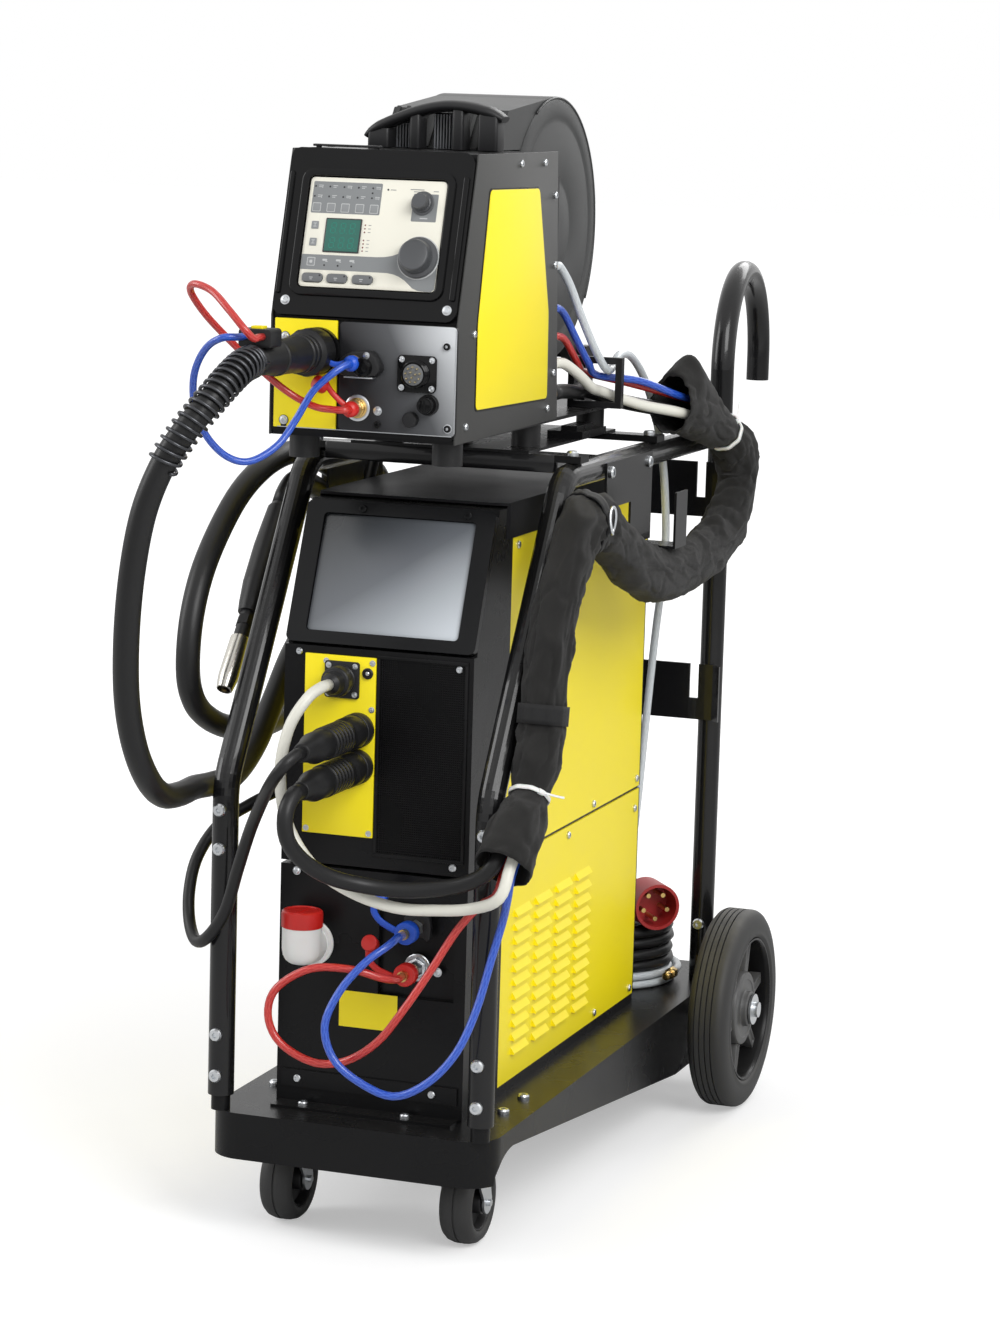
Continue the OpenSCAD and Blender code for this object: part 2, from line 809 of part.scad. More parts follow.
module case_screws() {
    color(zinc) placed() {
        front_screws(0, [[27 - half_w, power_z + 10], [half_w - 19, power_z + 10]], 9, 3);
        front_screws(0, [[18 - half_w, hood_z - 11]], 8, 3);
        front_screws(-grille_t, [[grille_at.x + grille.x - 10, hood_z - 17]], 8, 3);
        front_screws(-3, [[27 - half_w, cooler_z + 18], [half_w - 36, cooler_z + 18]], 9, 3);
        both_sides() side_screws(half_w, [[348, power_z - 14], [442, power_z + 8],
            [tower_depth - 14, power_z + 11], [tower_depth - 18, power_z - 27], [470, cooler_z + 10],
            [tower_depth - 16, cooler_z + 10], [tower_depth - 7, power_z + 252],
            [front_depth + 17, side_top_z - 10]], 9, 3);
        both_sides() side_screws(feeder_half, [[120, feeder_top - 12], [200, feeder_top - 12],
            [240, feeder_top - 50], [245, feeder_top - 130], [-20, slope_z - 14], [250, feeder_z + 58],
            [-40, feeder_z + 18], [232, feeder_z + 18]], 8, 3);
    }
}

module filler_neck() {
    flange = [58, 54, 4];
    color(cream) placed() {
        translate([neck_at.x, neck_at.y, neck_z]) cylinder(h = neck_h, d = neck_d);
        translate([neck_at.x, 0, neck_z + neck_bend]) rotate([90, 0, 0]) {
            translate([0, 0, 2]) cylinder(h = -neck_at.y - 2, d = neck_d - 2);
            round_plate(flange.x, flange.y, flange.z, 8);
        }
    }
}

module filler_cap() {
    ribs = 12;
    color(red) placed() translate([neck_at.x, neck_at.y, neck_z + neck_h + gap]) difference() {
        union() {
            cylinder(h = 20, d = neck_d);
            for (i = [0:ribs - 1]) rotate([0, 0, i * 360 / ribs])
                translate([neck_d / 2 - 1, -2.5, 0]) cube([2.4, 5, 18]);
        }
        translate([-3, -14, 16]) cube([6, 28, 5]);
    }
}

// Socket seated on a front face at y, with its mouth forward
module front_socket(x, y, z, d, h) {
    translate([x, y, z]) rotate([90, 0, 0]) {
        cylinder(h = h * 0.5, d = d);
        cylinder(h = h, d = d * 0.8);
    }
}

module panel_sockets() {
    color(soot) placed() {
        translate([control_x, -plate_out, control_z]) rotate([90, 0, 0]) round_plate(36, 36, 3, 4);
        front_socket(control_x, -plate_out - 3, control_z, 26, 39);
        front_socket(control_x - 26, -plate_out, control_z + 14, 9, 5);
        for (z = weld_z) translate([weld_x, -plate_out, z]) rotate([90, 0, 0])
            cylinder(h = weld_socket_h, d = 40);
    }
}

module coolant_couplings() {
    nut_h = 20;
    placed() for (i = [0, 1]) translate([coupling_x, pocket.y, coupling_z[i]]) {
        rotate([90, 0, 0]) {
            color(brass) cylinder(h = nut_h, d = 24, $fn = 6);
            color(brass) translate([0, 0, nut_h]) cylinder(h = coupling_y + pocket.y - nut_h, d = 18);
            color(i == 0 ? blue : red) translate([0, 0, 28]) difference() {
                cylinder(h = 16, d = 26);
                translate([0, 0, -1]) cylinder(h = 18, d = 18);
            }
        }
    }
}

module internal_units() {
    half = half_w - skin_t;
    louvre_depth = 12;
    sill = 24;
    color([0.20, 0.21, 0.22]) placed() {
        difference() {
            translate([-half, front_depth, cooler_z]) cube([2 * half, side_depth, cooler_h]);
            for (s = [-1, 1]) translate([s * half - louvre_depth, front_depth + 30, cooler_z + 20])
                cube([2 * louvre_depth, side_depth - 190, cooler_h - 50]);
        }
        translate([-half, front_depth, power_z])
            cube([2 * half, side_depth, power_h + cover_h - cover_t]);
        translate([-half, sill, power_z - join]) cube([2 * half, front_depth - sill, join]);
    }
}

// ---------------------------------------------------------------- feeder

// Frame of the feeder's sloping front: X across, Y up the slope, Z out of it
module on_slope() {
    translate([0, -feeder_front, slope_z]) rotate([slope_angle, 0, 0]) children();
}

module case_side_profile(inset) {
    polygon([[-feeder_front + inset, feeder_z], [-feeder_front + inset, slope_z],
        [-feeder_front + slope_back + inset, feeder_top], [side_rear - side_lean, feeder_top],
        [side_rear, feeder_z + 3]]);
}

module feeder_chassis() {
    ear = 12;
    ear_x = [-62, 50];
    post_r = 34;
    half = feeder_half - panel_t;
    color(soot) placed() {
        union() {
            upright(-half) linear_extrude(2 * half) polygon([[-feeder_front + 4, feeder_z],
                [-feeder_front + 4, slope_z], [-feeder_front + slope_back + 4, feeder_top - 0.5],
                [case_rear, feeder_top - 0.5], [case_rear, feeder_z]]);
            translate([-half, case_rear - 1, feeder_z]) cube([2 * half, hinge_y + 15 - case_rear, 4]);
            translate([cover_out + 6, case_rear - 1, feeder_z])
                cube([half - cover_out - 6, strip_rear - case_rear, feeder_h - 30]);
            translate([-half, case_rear - 1, feeder_z])
                cube([half + cover_in - 4, strip_rear - case_rear, feeder_h - 30]);
            for (x = ear_x) translate([x, hinge_y - 15, feeder_z])
                cube([ear, 30, hinge_z - feeder_z + 12]);
            upright(cover_in + 9) linear_extrude(5) {
                polygon([[spool_y - 90, feeder_z], [spool_y + 90, feeder_z], [spool_y + post_r, spool_z],
                    [spool_y - post_r, spool_z]]);
                translate([spool_y, spool_z]) circle(post_r);
            }
            translate([cover_in + 10, spool_y, spool_z]) rotate([0, 90, 0])
                cylinder(h = spool_x + spool_w / 2 - cover_in - 6, d = spindle_d);
            translate([ear_x[0], hinge_y, hinge_z]) rotate([0, 90, 0])
                cylinder(h = ear_x[1] + ear - ear_x[0], d = hinge_d);
        }
    }
    color(rubber) placed() for (x = [-85, 85], y = [-25, 235, 470])
        translate([x, y, feeder_z - foot_h]) cylinder(h = foot_h - foot_seat, d = foot_d);
}

module feeder_sides() {
    bead_t = 1.5;
    bead = [[0, feeder_z + 8], [150, feeder_z + 5], [215, feeder_z + 73], [228, feeder_z + 173],
        [200, feeder_top - 25], [62, feeder_top - 25], [15, slope_z - 19]];
    color(yellow) placed() both_sides() {
        upright(feeder_half - panel_t) linear_extrude(panel_t) case_side_profile(0);
        upright(feeder_half) linear_extrude(bead_t) polygon(bead);
    }
}

// Slots of the three oblong keys
module key_slots() {
    for (x = key_x) translate([x, key_v, 1]) round_plate(key.x + 2 * gap, key.y + 2 * gap, 12, key.y / 2);
}

module front_bezel() {
    color(soot) placed() on_slope() difference() {
        translate([0, slope_len / 2, -3]) round_plate(feeder_w - 2 * panel_t - 2 * gap, slope_len, bezel_t, 12);
        translate([0, panel_v, panel_seat]) round_plate(panel.x + 2, panel.y + 2, bezel_t, 6);
        for (p = [knob_small, knob_large]) translate([p.x, p.y, -4])
            cylinder(h = 20, d = knob_stem + 2 * run_fit);
        key_slots();
    }
}

module control_panel() {
    color(cream) placed() on_slope() difference() {
        union() {
            translate([0, panel_v, panel_seat]) round_plate(panel.x, panel.y, panel_face - panel_seat, 5);
            translate([-33.5, 91, panel_face]) round_plate(50, 33, 1.5, 3);
            for (i = [0:4]) translate([-70 + i * 18, 121, panel_face]) round_plate(10, 10, 1.6, 2);
            for (v = [84, 100]) translate([-72, v, panel_face]) round_plate(8, 8, 1.2, 1.5);
            translate([-69, 61, panel_face]) cylinder(h = 2.4, d = 12);
            translate([56.5, 125, panel_face]) round_plate(36, 29, 1.2, 3);
        }
        for (p = [knob_small, knob_large]) translate([p.x, p.y, 1])
            cylinder(h = 20, d = knob_stem + 2 * run_fit);
        key_slots();
    }
}

module encoder_knob() {
    color(soot) placed() on_slope() translate([knob_small.x, knob_small.y, 0]) {
        cylinder(h = 9, d = knob_stem);
        translate([0, 0, panel_face + 1.2 + gap]) cylinder(h = 12, d1 = 20, d2 = 17);
    }
}

module mode_knob() {
    color([0.25, 0.25, 0.26]) placed() on_slope() translate([knob_large.x, knob_large.y, 0]) {
        cylinder(h = 8, d = knob_stem);
        translate([0, 0, panel_face + gap]) difference() {
            union() {
                cylinder(h = 5, d = 46);
                translate([0, 0, 5]) cylinder(h = 13, d1 = 38, d2 = 34);
            }
            for (i = [0:11]) rotate([0, 0, i * 30]) translate([20.5, 0, 5.5]) cylinder(h = 14, d = 6);
        }
    }
}

module soft_key(i) {
    color([0.35, 0.35, 0.36]) placed() on_slope()
        translate([key_x[i], key_v, panel_seat + 1.2]) round_plate(key.x, key.y, 4.2, key.y / 2 - 0.2);
}

module soft_key_1() {
    soft_key(0);
}

module soft_key_2() {
    soft_key(1);
}

module soft_key_3() {
    soft_key(2);
}

module connector_panel() {
    y = -feeder_front;
    color(soot) placed() {
        translate([0, y + 4, (feeder_z + slope_z) / 2]) rotate([90, 0, 0])
            round_plate(feeder_w - 2 * panel_t - 2 * gap, slope_z - feeder_z - 8, 4, 5);
        translate([42, y, feed_plate_z]) rotate([90, 0, 0])
            round_plate(socket_plate.x, socket_plate.y, plate_out, 5);
        front_socket(torch_x, y - plate_out, torch_z, 52, 13);
        translate([remote_at.x, y - plate_out, remote_at.y]) rotate([90, 0, 0]) round_plate(44, 38, 3, 4);
        front_socket(remote_at.x, y - plate_out - 3, remote_at.y, 30, 12);
        front_socket(80, y - plate_out, feeder_z + 43, 22, 16);
        front_socket(60, y - plate_out, feeder_z + 26, 16, 10);
        front_screws(y - plate_out, [[99, feeder_z + 107], [102, feeder_z + 18], [20, feeder_z + 18]], 8, 3);
    }
    placed() for (p = [feed_blue, feed_red]) translate([p.x, y - plate_out, p.y]) rotate([90, 0, 0]) {
        color(brass) cylinder(h = 10, d = 20, $fn = 6);
        color(p == feed_blue ? blue : red) translate([0, 0, 10]) cylinder(h = 8, d = 18);
        color(brass) translate([0, 0, 18]) cylinder(h = 5, d = 12);
    }
}

module carry_handle() {
    foot = [34, 22, 32];
    grip = feeder_top + handle_h;
    arch = [[-handle_half, feeder_top + foot.y], [-handle_half, grip], [handle_half, grip],
        [handle_half, feeder_top + foot.y]];
    color(soot) placed() translate([0, handle_y, 0]) rotate([90, 0, 0]) {
        for (x = [-handle_half, handle_half]) translate([x, feeder_top + foot.y / 2, -foot.z / 2])
            round_plate(foot.x, foot.y, foot.z, 5);
        bent_bar(arch, [27, 27], 18);
    }
}

module rear_fittings() {
    kinds = [brass, blue, red, cream, soot, soot];
    sizes = [16, 14, 14, 18, 24, 19];
    placed() {
        for (i = [0:5]) color(kinds[i])
            translate([i < 5 ? fit_x : -fit_x, strip_rear - 1, feeder_z + fit_rise[i]]) rotate([-90, 0, 0]) {
            cylinder(h = 14, d = sizes[i], $fn = 6);
            translate([0, 0, 14]) cylinder(h = 30, d = sizes[i] - 4);
        }
        color(soot) translate([70, 425, feeder_z + 4]) difference() {
            cube([68, 10, 61]);
            translate([8, -1, 7]) cube([52, 12, 46]);
        }
    }
}

// Side outline of the spool cover: a disc round the spool, drawn forward over the case
module cover_outline(inset) {
    translate([spool_y, spool_z]) circle(cover_r - inset, $fn = 96);
    polygon([[nose_y + inset, feeder_top + gap], [nose_top.x + inset, nose_top.y - inset],
        [spool_y, spool_z + cover_r - inset], [spool_y, feeder_top + gap]]);
}

module spool_cover() {
    lug_w = 18;
    width = cover_out - cover_in;
    reach = 2 * spool_d;
    rib_w = 4;
    rib_pitch = 12;
    rib = [[nose_y + 2, feeder_top + 3], [nose_y - 3, feeder_top + 3], [nose_top.x - 3, nose_top.y + 2],
        [nose_top.x + 2, nose_top.y - 1]];
    color(soot) placed() union() {
        upright(cover_in) linear_extrude(cover_skin) cover_outline(0);
        upright(cover_out - cover_skin) linear_extrude(cover_skin) cover_outline(0);
        upright(cover_in) linear_extrude(width) intersection() {
            difference() {
                cover_outline(0);
                cover_outline(cover_skin);
            }
            union() {
                polygon([[spool_y - reach, spool_z + reach], [spool_y + reach, spool_z - reach],
                    [spool_y + reach, spool_z + reach]]);
                translate([nose_y - spool_d, feeder_top + gap]) square([2 * spool_d, spool_d]);
            }
        }
        for (x = [-48, 28]) upright(x) linear_extrude(lug_w) difference() {
            union() {
                polygon([[spool_y + 104, spool_z - 112], [spool_y + 124, spool_z - 92],
                    [hinge_y + 8, hinge_z + 4], [hinge_y - 8, hinge_z - 4]]);
                translate([hinge_y, hinge_z]) circle(10);
            }
            translate([hinge_y, hinge_z]) circle(d = hinge_d + 2 * run_fit);
        }
        for (x = [cover_in + 5:rib_pitch:cover_out - rib_w - 2]) upright(x) linear_extrude(rib_w) polygon(rib);
    }
}

module wire_spool() {
    flange_t = 4;
    x0 = spool_x - spool_w / 2;
    bore = spindle_d / 2 + run_fit;
    color([0.80, 0.45, 0.30]) placed() translate([x0, spool_y, spool_z]) rotate([0, 90, 0])
        rotate_extrude($fn = 96) polygon([[bore, 0], [spool_d / 2, 0], [spool_d / 2, flange_t],
            [120, flange_t], [120, spool_w - flange_t], [spool_d / 2, spool_w - flange_t],
            [spool_d / 2, spool_w], [bore, spool_w]]);
}

// ---------------------------------------------------------------- torch and cords

function unit(v) = v / norm(v);

// Point of a curve that runs from b to c, with a and d as its neighbours
function between(a, b, c, d, t) =
    (2 * b + (c - a) * t + (2 * a - 5 * b + 4 * c - d) * t * t + (3 * b - a - 3 * c + d) * t * t * t) / 2;

// Smooth route through hand-set points: its first and last steps stay straight
function route(p, n) = let (m = len(p) - 1) concat([p[0]],
    [for (i = [1:m - 2], k = [0:n - 1]) between(p[i - 1], p[i], p[i + 1], p[i + 2], k / n)],
    [p[m - 1], p[m]]);

// Point of the smooth route, u spans after its second point
function along(p, u) = let (i = min(len(p) - 3, 1 + floor(u)))
    between(p[i - 1], p[i], p[i + 1], p[i + 2], u - i + 1);

// Direction of the route at each of its points
function headings(path) = let (m = len(path) - 1)
    [for (i = [0:m]) unit(path[min(m, i + 1)] - path[max(0, i - 1)])];

// Normals carried along the route with the least twist
function normals(dirs, first) = [for (i = 0, n = unit(first - (first * dirs[0]) * dirs[0]); i < len(dirs);
    i = i + 1, n = i < len(dirs) ? unit(n - (n * dirs[i]) * dirs[i]) : n) n];

// Rings of points round a route, with a radius for each
function rings(path, radii, sides) =
    let (dirs = headings(path), ns = normals(dirs, abs(dirs[0].x) > 0.7 ? [0, 0, 1] : [1, 0, 0]))
    [for (i = [0:len(path) - 1], k = [0:sides - 1])
        let (a = k * 360 / sides, side = cross(dirs[i], ns[i]))
        path[i] + radii[i] * (cos(a) * ns[i] + sin(a) * side)];

// Triangles of a tube's wall; the points of its rings start at base
function wall_faces(count, sides, base, outward) =
    [for (i = [0:count - 2], k = [0:sides - 1], half = [0, 1])
        let (a = base + i * sides + k, b = base + i * sides + (k + 1) % sides,
            tri = half == 0 ? [a, b + sides, b] : [a, a + sides, b + sides])
        outward ? tri : [tri[2], tri[1], tri[0]]];

// Round tube along a route, with one diameter or one for each point
module tube(path, d, sides) {
    n = len(path);
    radii = [for (i = [0:n - 1]) is_list(d) ? d[i] / 2 : d / 2];
    last = (n - 1) * sides;
    polyhedron(rings(path, radii, sides), concat(wall_faces(n, sides, 0, true),
        [for (k = [1:sides - 2]) [0, k, k + 1]],
        [for (k = [1:sides - 2]) [last, last + k + 1, last + k]]), convexity = 12);
}

// Hollow tube along a route
module pipe(path, d, wall, sides) {
    n = len(path);
    outer = [for (i = [0:n - 1]) d[i] / 2];
    inner = [for (i = [0:n - 1]) d[i] / 2 - wall];
    base = n * sides;
    last = (n - 1) * sides;
    polyhedron(concat(rings(path, outer, sides), rings(path, inner, sides)),
        concat(wall_faces(n, sides, 0, true), wall_faces(n, sides, base, false),
            [for (k = [0:sides - 1], half = [0, 1]) let (j = (k + 1) % sides)
                half == 0 ? [k, j, base + j] : [k, base + j, base + k]],
            [for (k = [0:sides - 1], half = [0, 1]) let (j = (k + 1) % sides)
                half == 0 ? [last + j, last + k, base + last + k]
                    : [last + j, base + last + k, base + last + j]]), convexity = 12);
}

// Least clear distance between turns of a wound tube, measured between its centre points
function turn_gap(path, d, skip) =
    min([for (i = [0:len(path) - 1], j = [i + skip:1:len(path) - 1]) norm(path[i] - path[j])]) - d;

function sum(list) = list * [for (x = list) 1];

// Layered coil, wound clockwise: spirals in and out by turns and rises a layer where it reverses
function coil(centre, r_out, start, turns, layers, pitch, rise, steps) =
    let (per = turns / layers, total = turns * steps)
    [for (i = [0:total])
        let (t = i / steps, layer = min(layers - 1, floor(t / per)), into = t / per - layer,
            inward = layer % 2 == 0, depth = per * pitch * (inward ? into : 1 - into),
            climbs = [for (j = [1:layers - 1]) max(0, min(1, (t - j * per) / 0.5 + 0.5))], a = start - 360 * t)
        centre + [(r_out - depth) * cos(a), (r_out - depth) * sin(a), rise * sum(climbs)]];

// Torch plug, drawn along its own axis: nut, body, clip block and boot
module torch_plug() {
    color(soot) placed() {
        translate([torch_x, plug_front, torch_z]) rotate([90, 0, 0]) {
            cylinder(h = 26, d = 50);
            for (i = [0:15]) rotate([0, 0, i * 22.5]) translate([24, -1.5, 2]) cube([2.4, 3, 22]);
            translate([0, 0, 26]) cylinder(h = 100, d = 38);
            translate([0, 0, 126]) cylinder(h = plug_front - plug_end - 126, d1 = 34, d2 = 31);
        }
        translate([torch_x - 19, plug_end, torch_z + 14]) cube([38, 30, 20]);
    }
    color(yellow) placed() translate([torch_x - 7, plug_end + 5, torch_z + 34]) cube([14, 14, 3]);
}

lead_points = [[-51, -250, 1022], [-51, -256, 1022], [-53, -281, 1017], [-60, -306, 1001],
    [-72, -328, 978], [-90, -343, 950], [-110, -350, 915], [-130, -350, 865], [-144, -346, 800],
    [-154, -336, 730], [-161, -318, 662], [-163, -292, 606], [-164, -254, 563], [-169, -204, 538],
    [-178, -140, 528], [-188, -80, 524], [-192, -20, 518], [-192, 40, 518], [-192, 100, 544],
    [-192, 153, 589], [-192, 205, 635], [-192, 265, 668], [-192, 335, 690], [-193, 400, 712],
    [-192, 458, 746], [-191, 486, 788], [-191, 468, 826], [-192, 432, 838], [-193, 397, 833],
    [-199, 350, 845], [-206, 300, 863], [-214, 250, 873], [-220, 180, 862], [-224, 106, 830],
    [-226, 31, 769], [-226, -8, 710], [-226, -18, 648], [-226, 0, 608], [-226, 45, 580],
    [-226, 110, 560], [-226, 200, 548], [-226, 300, 555], [-226, 390, 583], [-226, 445, 622],
    [-226, 470, 680], [-225, 470, 738], [-217, 447, 781], [-209, 420, 799], [-209, 397, 798],
    [-208, 355, 808], [-206, 305, 825], [-203, 255, 838], [-200, 221, 839], [-200, 199, 826],
    [-200, 189, 814]];
module torch_lead() {
    bends = [for (i = [0:2 * spring_spans + 1]) along(lead_points, i / 2)];
    color(soot) placed() tube(concat([lead_points[0]], bends,
        [for (i = [spring_spans + 2:len(lead_points) - 1]) lead_points[i]]), lead_d, 10);
}

// Kink spring: a helix wound round the first bend of the lead
function spring_path() =
    let (count = spring_curls * 8, core = [for (i = [0:count]) along(lead_points, i / count * spring_spans)],
        dirs = headings(core), ns = normals(dirs, [1, 0, 0]),
        helix = [for (i = [0:count])
            core[i] + spring_r * (cos(i * 45) * ns[i] + sin(i * 45) * cross(dirs[i], ns[i]))])
    concat([[helix[0].x, plug_end, helix[0].z]], helix);
module torch_spring() {
    path = spring_path();
    echo(spring_gap = turn_gap(path, spring_wire, 5));
    color([0.55, 0.56, 0.58]) placed() tube(path, spring_wire, 6);
}

// Frame of the hanging torch: Z runs from the lead to the nozzle
module on_gun() {
    translate(lead_points[len(lead_points) - 1]) rotate([180 - gun_lean, 0, 0]) children();
}

module torch_gun() {
    color(soot) placed() on_gun() {
        difference() {
            rotate_extrude() polygon([[0, 0], [14, 0], [17, 6], [18, 30], [19, 60], [18, 110], [15, 138],
                [13, gun_len], [0, gun_len]]);
            translate([-5.6, -24, 44.4]) cube([11.2, 13, 46.2]);
            for (s = [0, 1], i = [0:3]) mirror([s, 0, 0]) translate([17, -3, 98 + i * 8]) cube([4, 9, 3]);
        }
        translate([0, 0, gun_len]) cylinder(h = neck_len, d = 19);
        translate([0, 0, gun_len + 6]) cylinder(h = 12, d = 23, $fn = 6);
    }
}

module torch_nozzle() {
    h = 70;
    color(brass) placed() on_gun() translate([0, 0, gun_len + neck_len]) difference() {
        rotate_extrude()
            polygon([[0, 0], [12, 0], [12, h - 14], [9, h], [7, h], [9, h - 14], [9, 30], [0, 30]]);
    }
    color(zinc) placed() on_gun() translate([0, 0, gun_len + neck_len + 30]) cylinder(h = h - 36, d = 8);
}

module torch_trigger() {
    color([0.3, 0.3, 0.3]) placed() on_gun() translate([-5, -25, 45]) {
        cube([10, 10, 45]);
    }
}

torch_blue = [[-3, -95, 1012], [-3, -108, 1012], [-14, -122, 1002], [-34, -128, 982], [-50, -134, 952],
    [-64, -152, 924], [-84, -180, 908], [-104, -198, 914], [-121, -214, 937], [-128, -228, 968],
    [-124, -242, 997], [-112, -256, 1020], [-94, -270, 1038], [-75, -278, 1047], [-62, -270, 1048],
    [-60, -262, 1048], [-60, -250, 1048]];
torch_red = [[-4, -95, 962], [-4, -106, 962], [-18, -108, 962], [-42, -104, 964], [-70, -110, 978],
    [-95, -135, 1005], [-114, -175, 1038], [-127, -208, 1066], [-132, -234, 1090], [-121, -250, 1100],
    [-96, -260, 1094], [-70, -274, 1076], [-50, -280, 1058], [-43, -272, 1048], [-42, -262, 1048],
    [-42, -250, 1048]];
module torch_hoses() {
    color(blue) placed() tube(route(torch_blue, 3), thin_hose_d, 8);
    color(red) placed() tube(route(torch_red, 3), thin_hose_d, 8);
}

// Textile sleeve from below the front panel, over the right side tube, back to the rear pole
sleeve_points = [[197, -120, 476], [200, -95, 505], [200, -50, 542], [200, -20, 595], [200, -6, 655],
    [200, 12, 712], [200, 50, 775], [200, 92, 820], [200, 140, 831], [202, 200, 806], [203, 290, 765],
    [203, 385, 744], [202, 500, 741], [201, 595, 747], [201, 660, 766], [202, 703, 800], [202, 715, 835],
    [200, 698, 866], [198, 665, 888], [191, 618, 904], [182, 565, 919], [172, 515, 930]];
sleeve_route = route(sleeve_points, sleeve_steps);
sleeve_dirs = headings(sleeve_route);
sleeve_ns = normals(sleeve_dirs, [1, 0, 0]);

// Place in the sleeve's route of one of its hand-set points
function sleeve_at(i) = i == 0 ? 0 : i == len(sleeve_points) - 1 ? len(sleeve_route) - 1
    : 1 + (i - 1) * sleeve_steps;

// Route of a hose inside the sleeve, off its centre line by u and v
function inside(u, v) = [for (i = [0:len(sleeve_points) - 1]) let (k = sleeve_at(i))
    sleeve_points[i] + u * sleeve_ns[k] + v * cross(sleeve_dirs[k], sleeve_ns[k])];

// Turns a shape so that its Z axis follows the sleeve at a hand-set point
module on_sleeve(i) {
    k = sleeve_at(i);
    dir = sleeve_dirs[k];
    translate(sleeve_route[k]) rotate([0, acos(dir.z), atan2(dir.y, dir.x)]) children();
}

module hose_sleeve() {
    n = len(sleeve_route);
    mouth = 16;
    tail = 10;
    flare = [for (i = [0:n - 1]) sleeve_d + max(0, tail * (i - n + 5) / 4, mouth * (1 - i / 4))];
    color(soot) placed() pipe(sleeve_route, flare, sleeve_wall, 12);
    color(cream) placed() for (i = [2, 18]) on_sleeve(i) difference() {
        translate([0, 0, -4]) cylinder(h = 8, d = sleeve_d + 3);
        translate([0, 0, -5]) cylinder(h = 10, d = sleeve_d + 0.6);
    }
}

control_points = concat([[-42, -45, 648], [-42, -62, 648], [-50, -86, 638], [-64, -104, 606], [-70, -112, 558],
    [-58, -120, 505], [-28, -120, 460], [18, -116, 432], [68, -110, 418], [116, -112, 420], [162, -120, 428],
    [200, -138, 447]], inside(11, -8), [[146, 470, 934], [110, 430, 951], [109, 400, 957], [103, 368, 974],
    [94, 342, 988], [fit_x, 326, 990], [fit_x, 305, 990]]);
module control_cable() {
    color(cream) placed() tube(route(control_points, 2), control_d, 8);
}

weld_points = concat([[-22, -169, 550], [-22, -186, 550], [-24, -204, 532], [-22, -204, 504], [-12, -185, 478],
    [10, -158, 456], [42, -132, 444], [85, -120, 441], [130, -114, 447], [165, -118, 460]], inside(-10, -4),
    [[125, 472, 936], [90, 430, 951], [90, 390, 952], [fit_x, 350, 955], [fit_x, 328, 955], [fit_x, 305, 955]]);
return_points = [[-22, -169, 592], [-22, -184, 592], [-30, -198, 582], [-46, -192, 562], [-68, -165, 535],
    [-98, -128, 492], [-122, -106, 440], [-141, -94, 390], [-165, -86, 356], [-188, -68, 345],
    [-207, -45, 362], [-215, -28, 395], [-214, -8, 430], [-202, 25, 462], [-178, 62, 482],
    [-152, 98, 500], [-134, 130, 535], [-131, 165, 600], [-131, 210, 700], [-131, 262, 800],
    [-131, 300, 860], [-131, 330, 905], [-128, 345, 945], [-112, 350, 978], [-96, 342, 996],
    [-88, 326, 1000], [-88, 305, 1000]];
module weld_cables() {
    color(soot) placed() {
        tube(route(weld_points, 2), weld_d, 8);
        tube(route(return_points, 2), return_d, 8);
        for (z = weld_z) translate([weld_x, -3 - weld_socket_h, z]) rotate([90, 0, 0]) {
            cylinder(h = 120, d = 36);
            translate([0, 0, 120]) cylinder(h = 30, d1 = 32, d2 = 22);
        }
    }
}

blue_points = concat([[56, -50, 373], [56, -66, 373], [50, -84, 366], [32, -102, 350], [10, -118, 320],
    [-3, -130, 282], [8, -132, 246], [38, -130, 222], [80, -130, 210], [120, -130, 230], [150, -122, 266],
    [166, -106, 312], [176, -90, 366], [187, -88, 408], [200, -110, 440]], inside(7, 14),
    [[146, 474, 962], [106, 430, 970], [104, 400, 986], [97, 372, 1016], [90, 348, 1045], [fit_x, 326, 1055],
    [fit_x, 305, 1055]]);
red_points = concat([[56, -50, 325], [56, -64, 325], [46, -84, 330], [15, -100, 340], [-30, -108, 338],
    [-70, -110, 312], [-80, -110, 280], [-65, -110, 250], [-25, -110, 232], [15, -112, 238], [55, -118, 266],
    [86, -122, 306], [112, -110, 350], [137, -96, 396], [162, -92, 426], [187, -112, 444]], inside(-4, 15.5),
    [[129, 474, 959], [91, 430, 972], [92, 400, 982], [92, 372, 1000], [90, 348, 1017], [fit_x, 326, 1022],
    [fit_x, 305, 1022]]);
module coolant_hoses() {
    color(blue) placed() tube(route(blue_points, 2), hose_d, 8);
    color(red) placed() tube(route(red_points, 2), hose_d, 8);
}

gas_coil_at = [38, 755, deck_z + gap + gas_d / 2];
gas_coil_r = 95;
gas_rise = 11;
gas_points = [[fit_x, 305, 1105], [fit_x, 326, 1105], [94, 350, 1082], [104, 372, 1040], [114, 398, 1000],
    [120, 430, 976], [118, 475, 992], [121, 520, 985], [129, 562, 945], [135, 600, 878], [132, 640, 800],
    [124, 672, 720], [114, 675, 620], [108, 665, 500], [104, 655, 400], [98, 650, 320], [92, 648, 250],
    [85, 650, 205], [74, 656, 172], [60, 660, gas_coil_at.z], [48, 660, gas_coil_at.z]];
module gas_hose() {
    color(clear_grey) placed() tube(route(gas_points, 2), gas_d, 8);
}

module gas_coil() {
    path = coil(gas_coil_at, gas_coil_r, -90, 4.75, 2, 12, gas_rise, 24);
    last = path[len(path) - 1];
    echo(gas_coil_gap = turn_gap(path, gas_d, 6));
    placed() {
        color(clear_grey) tube(concat([path[0] + [gas_d, 0, 0]], path, [last + [0, -gas_d, 0]]), gas_d, 6);
        color(zinc) translate(last + [0, -gas_d, 0]) rotate([90, 0, 0]) {
            cylinder(h = 14, d = 16, $fn = 6);
            translate([0, 0, 14]) cylinder(h = 18, d = 12);
        }
    }
}

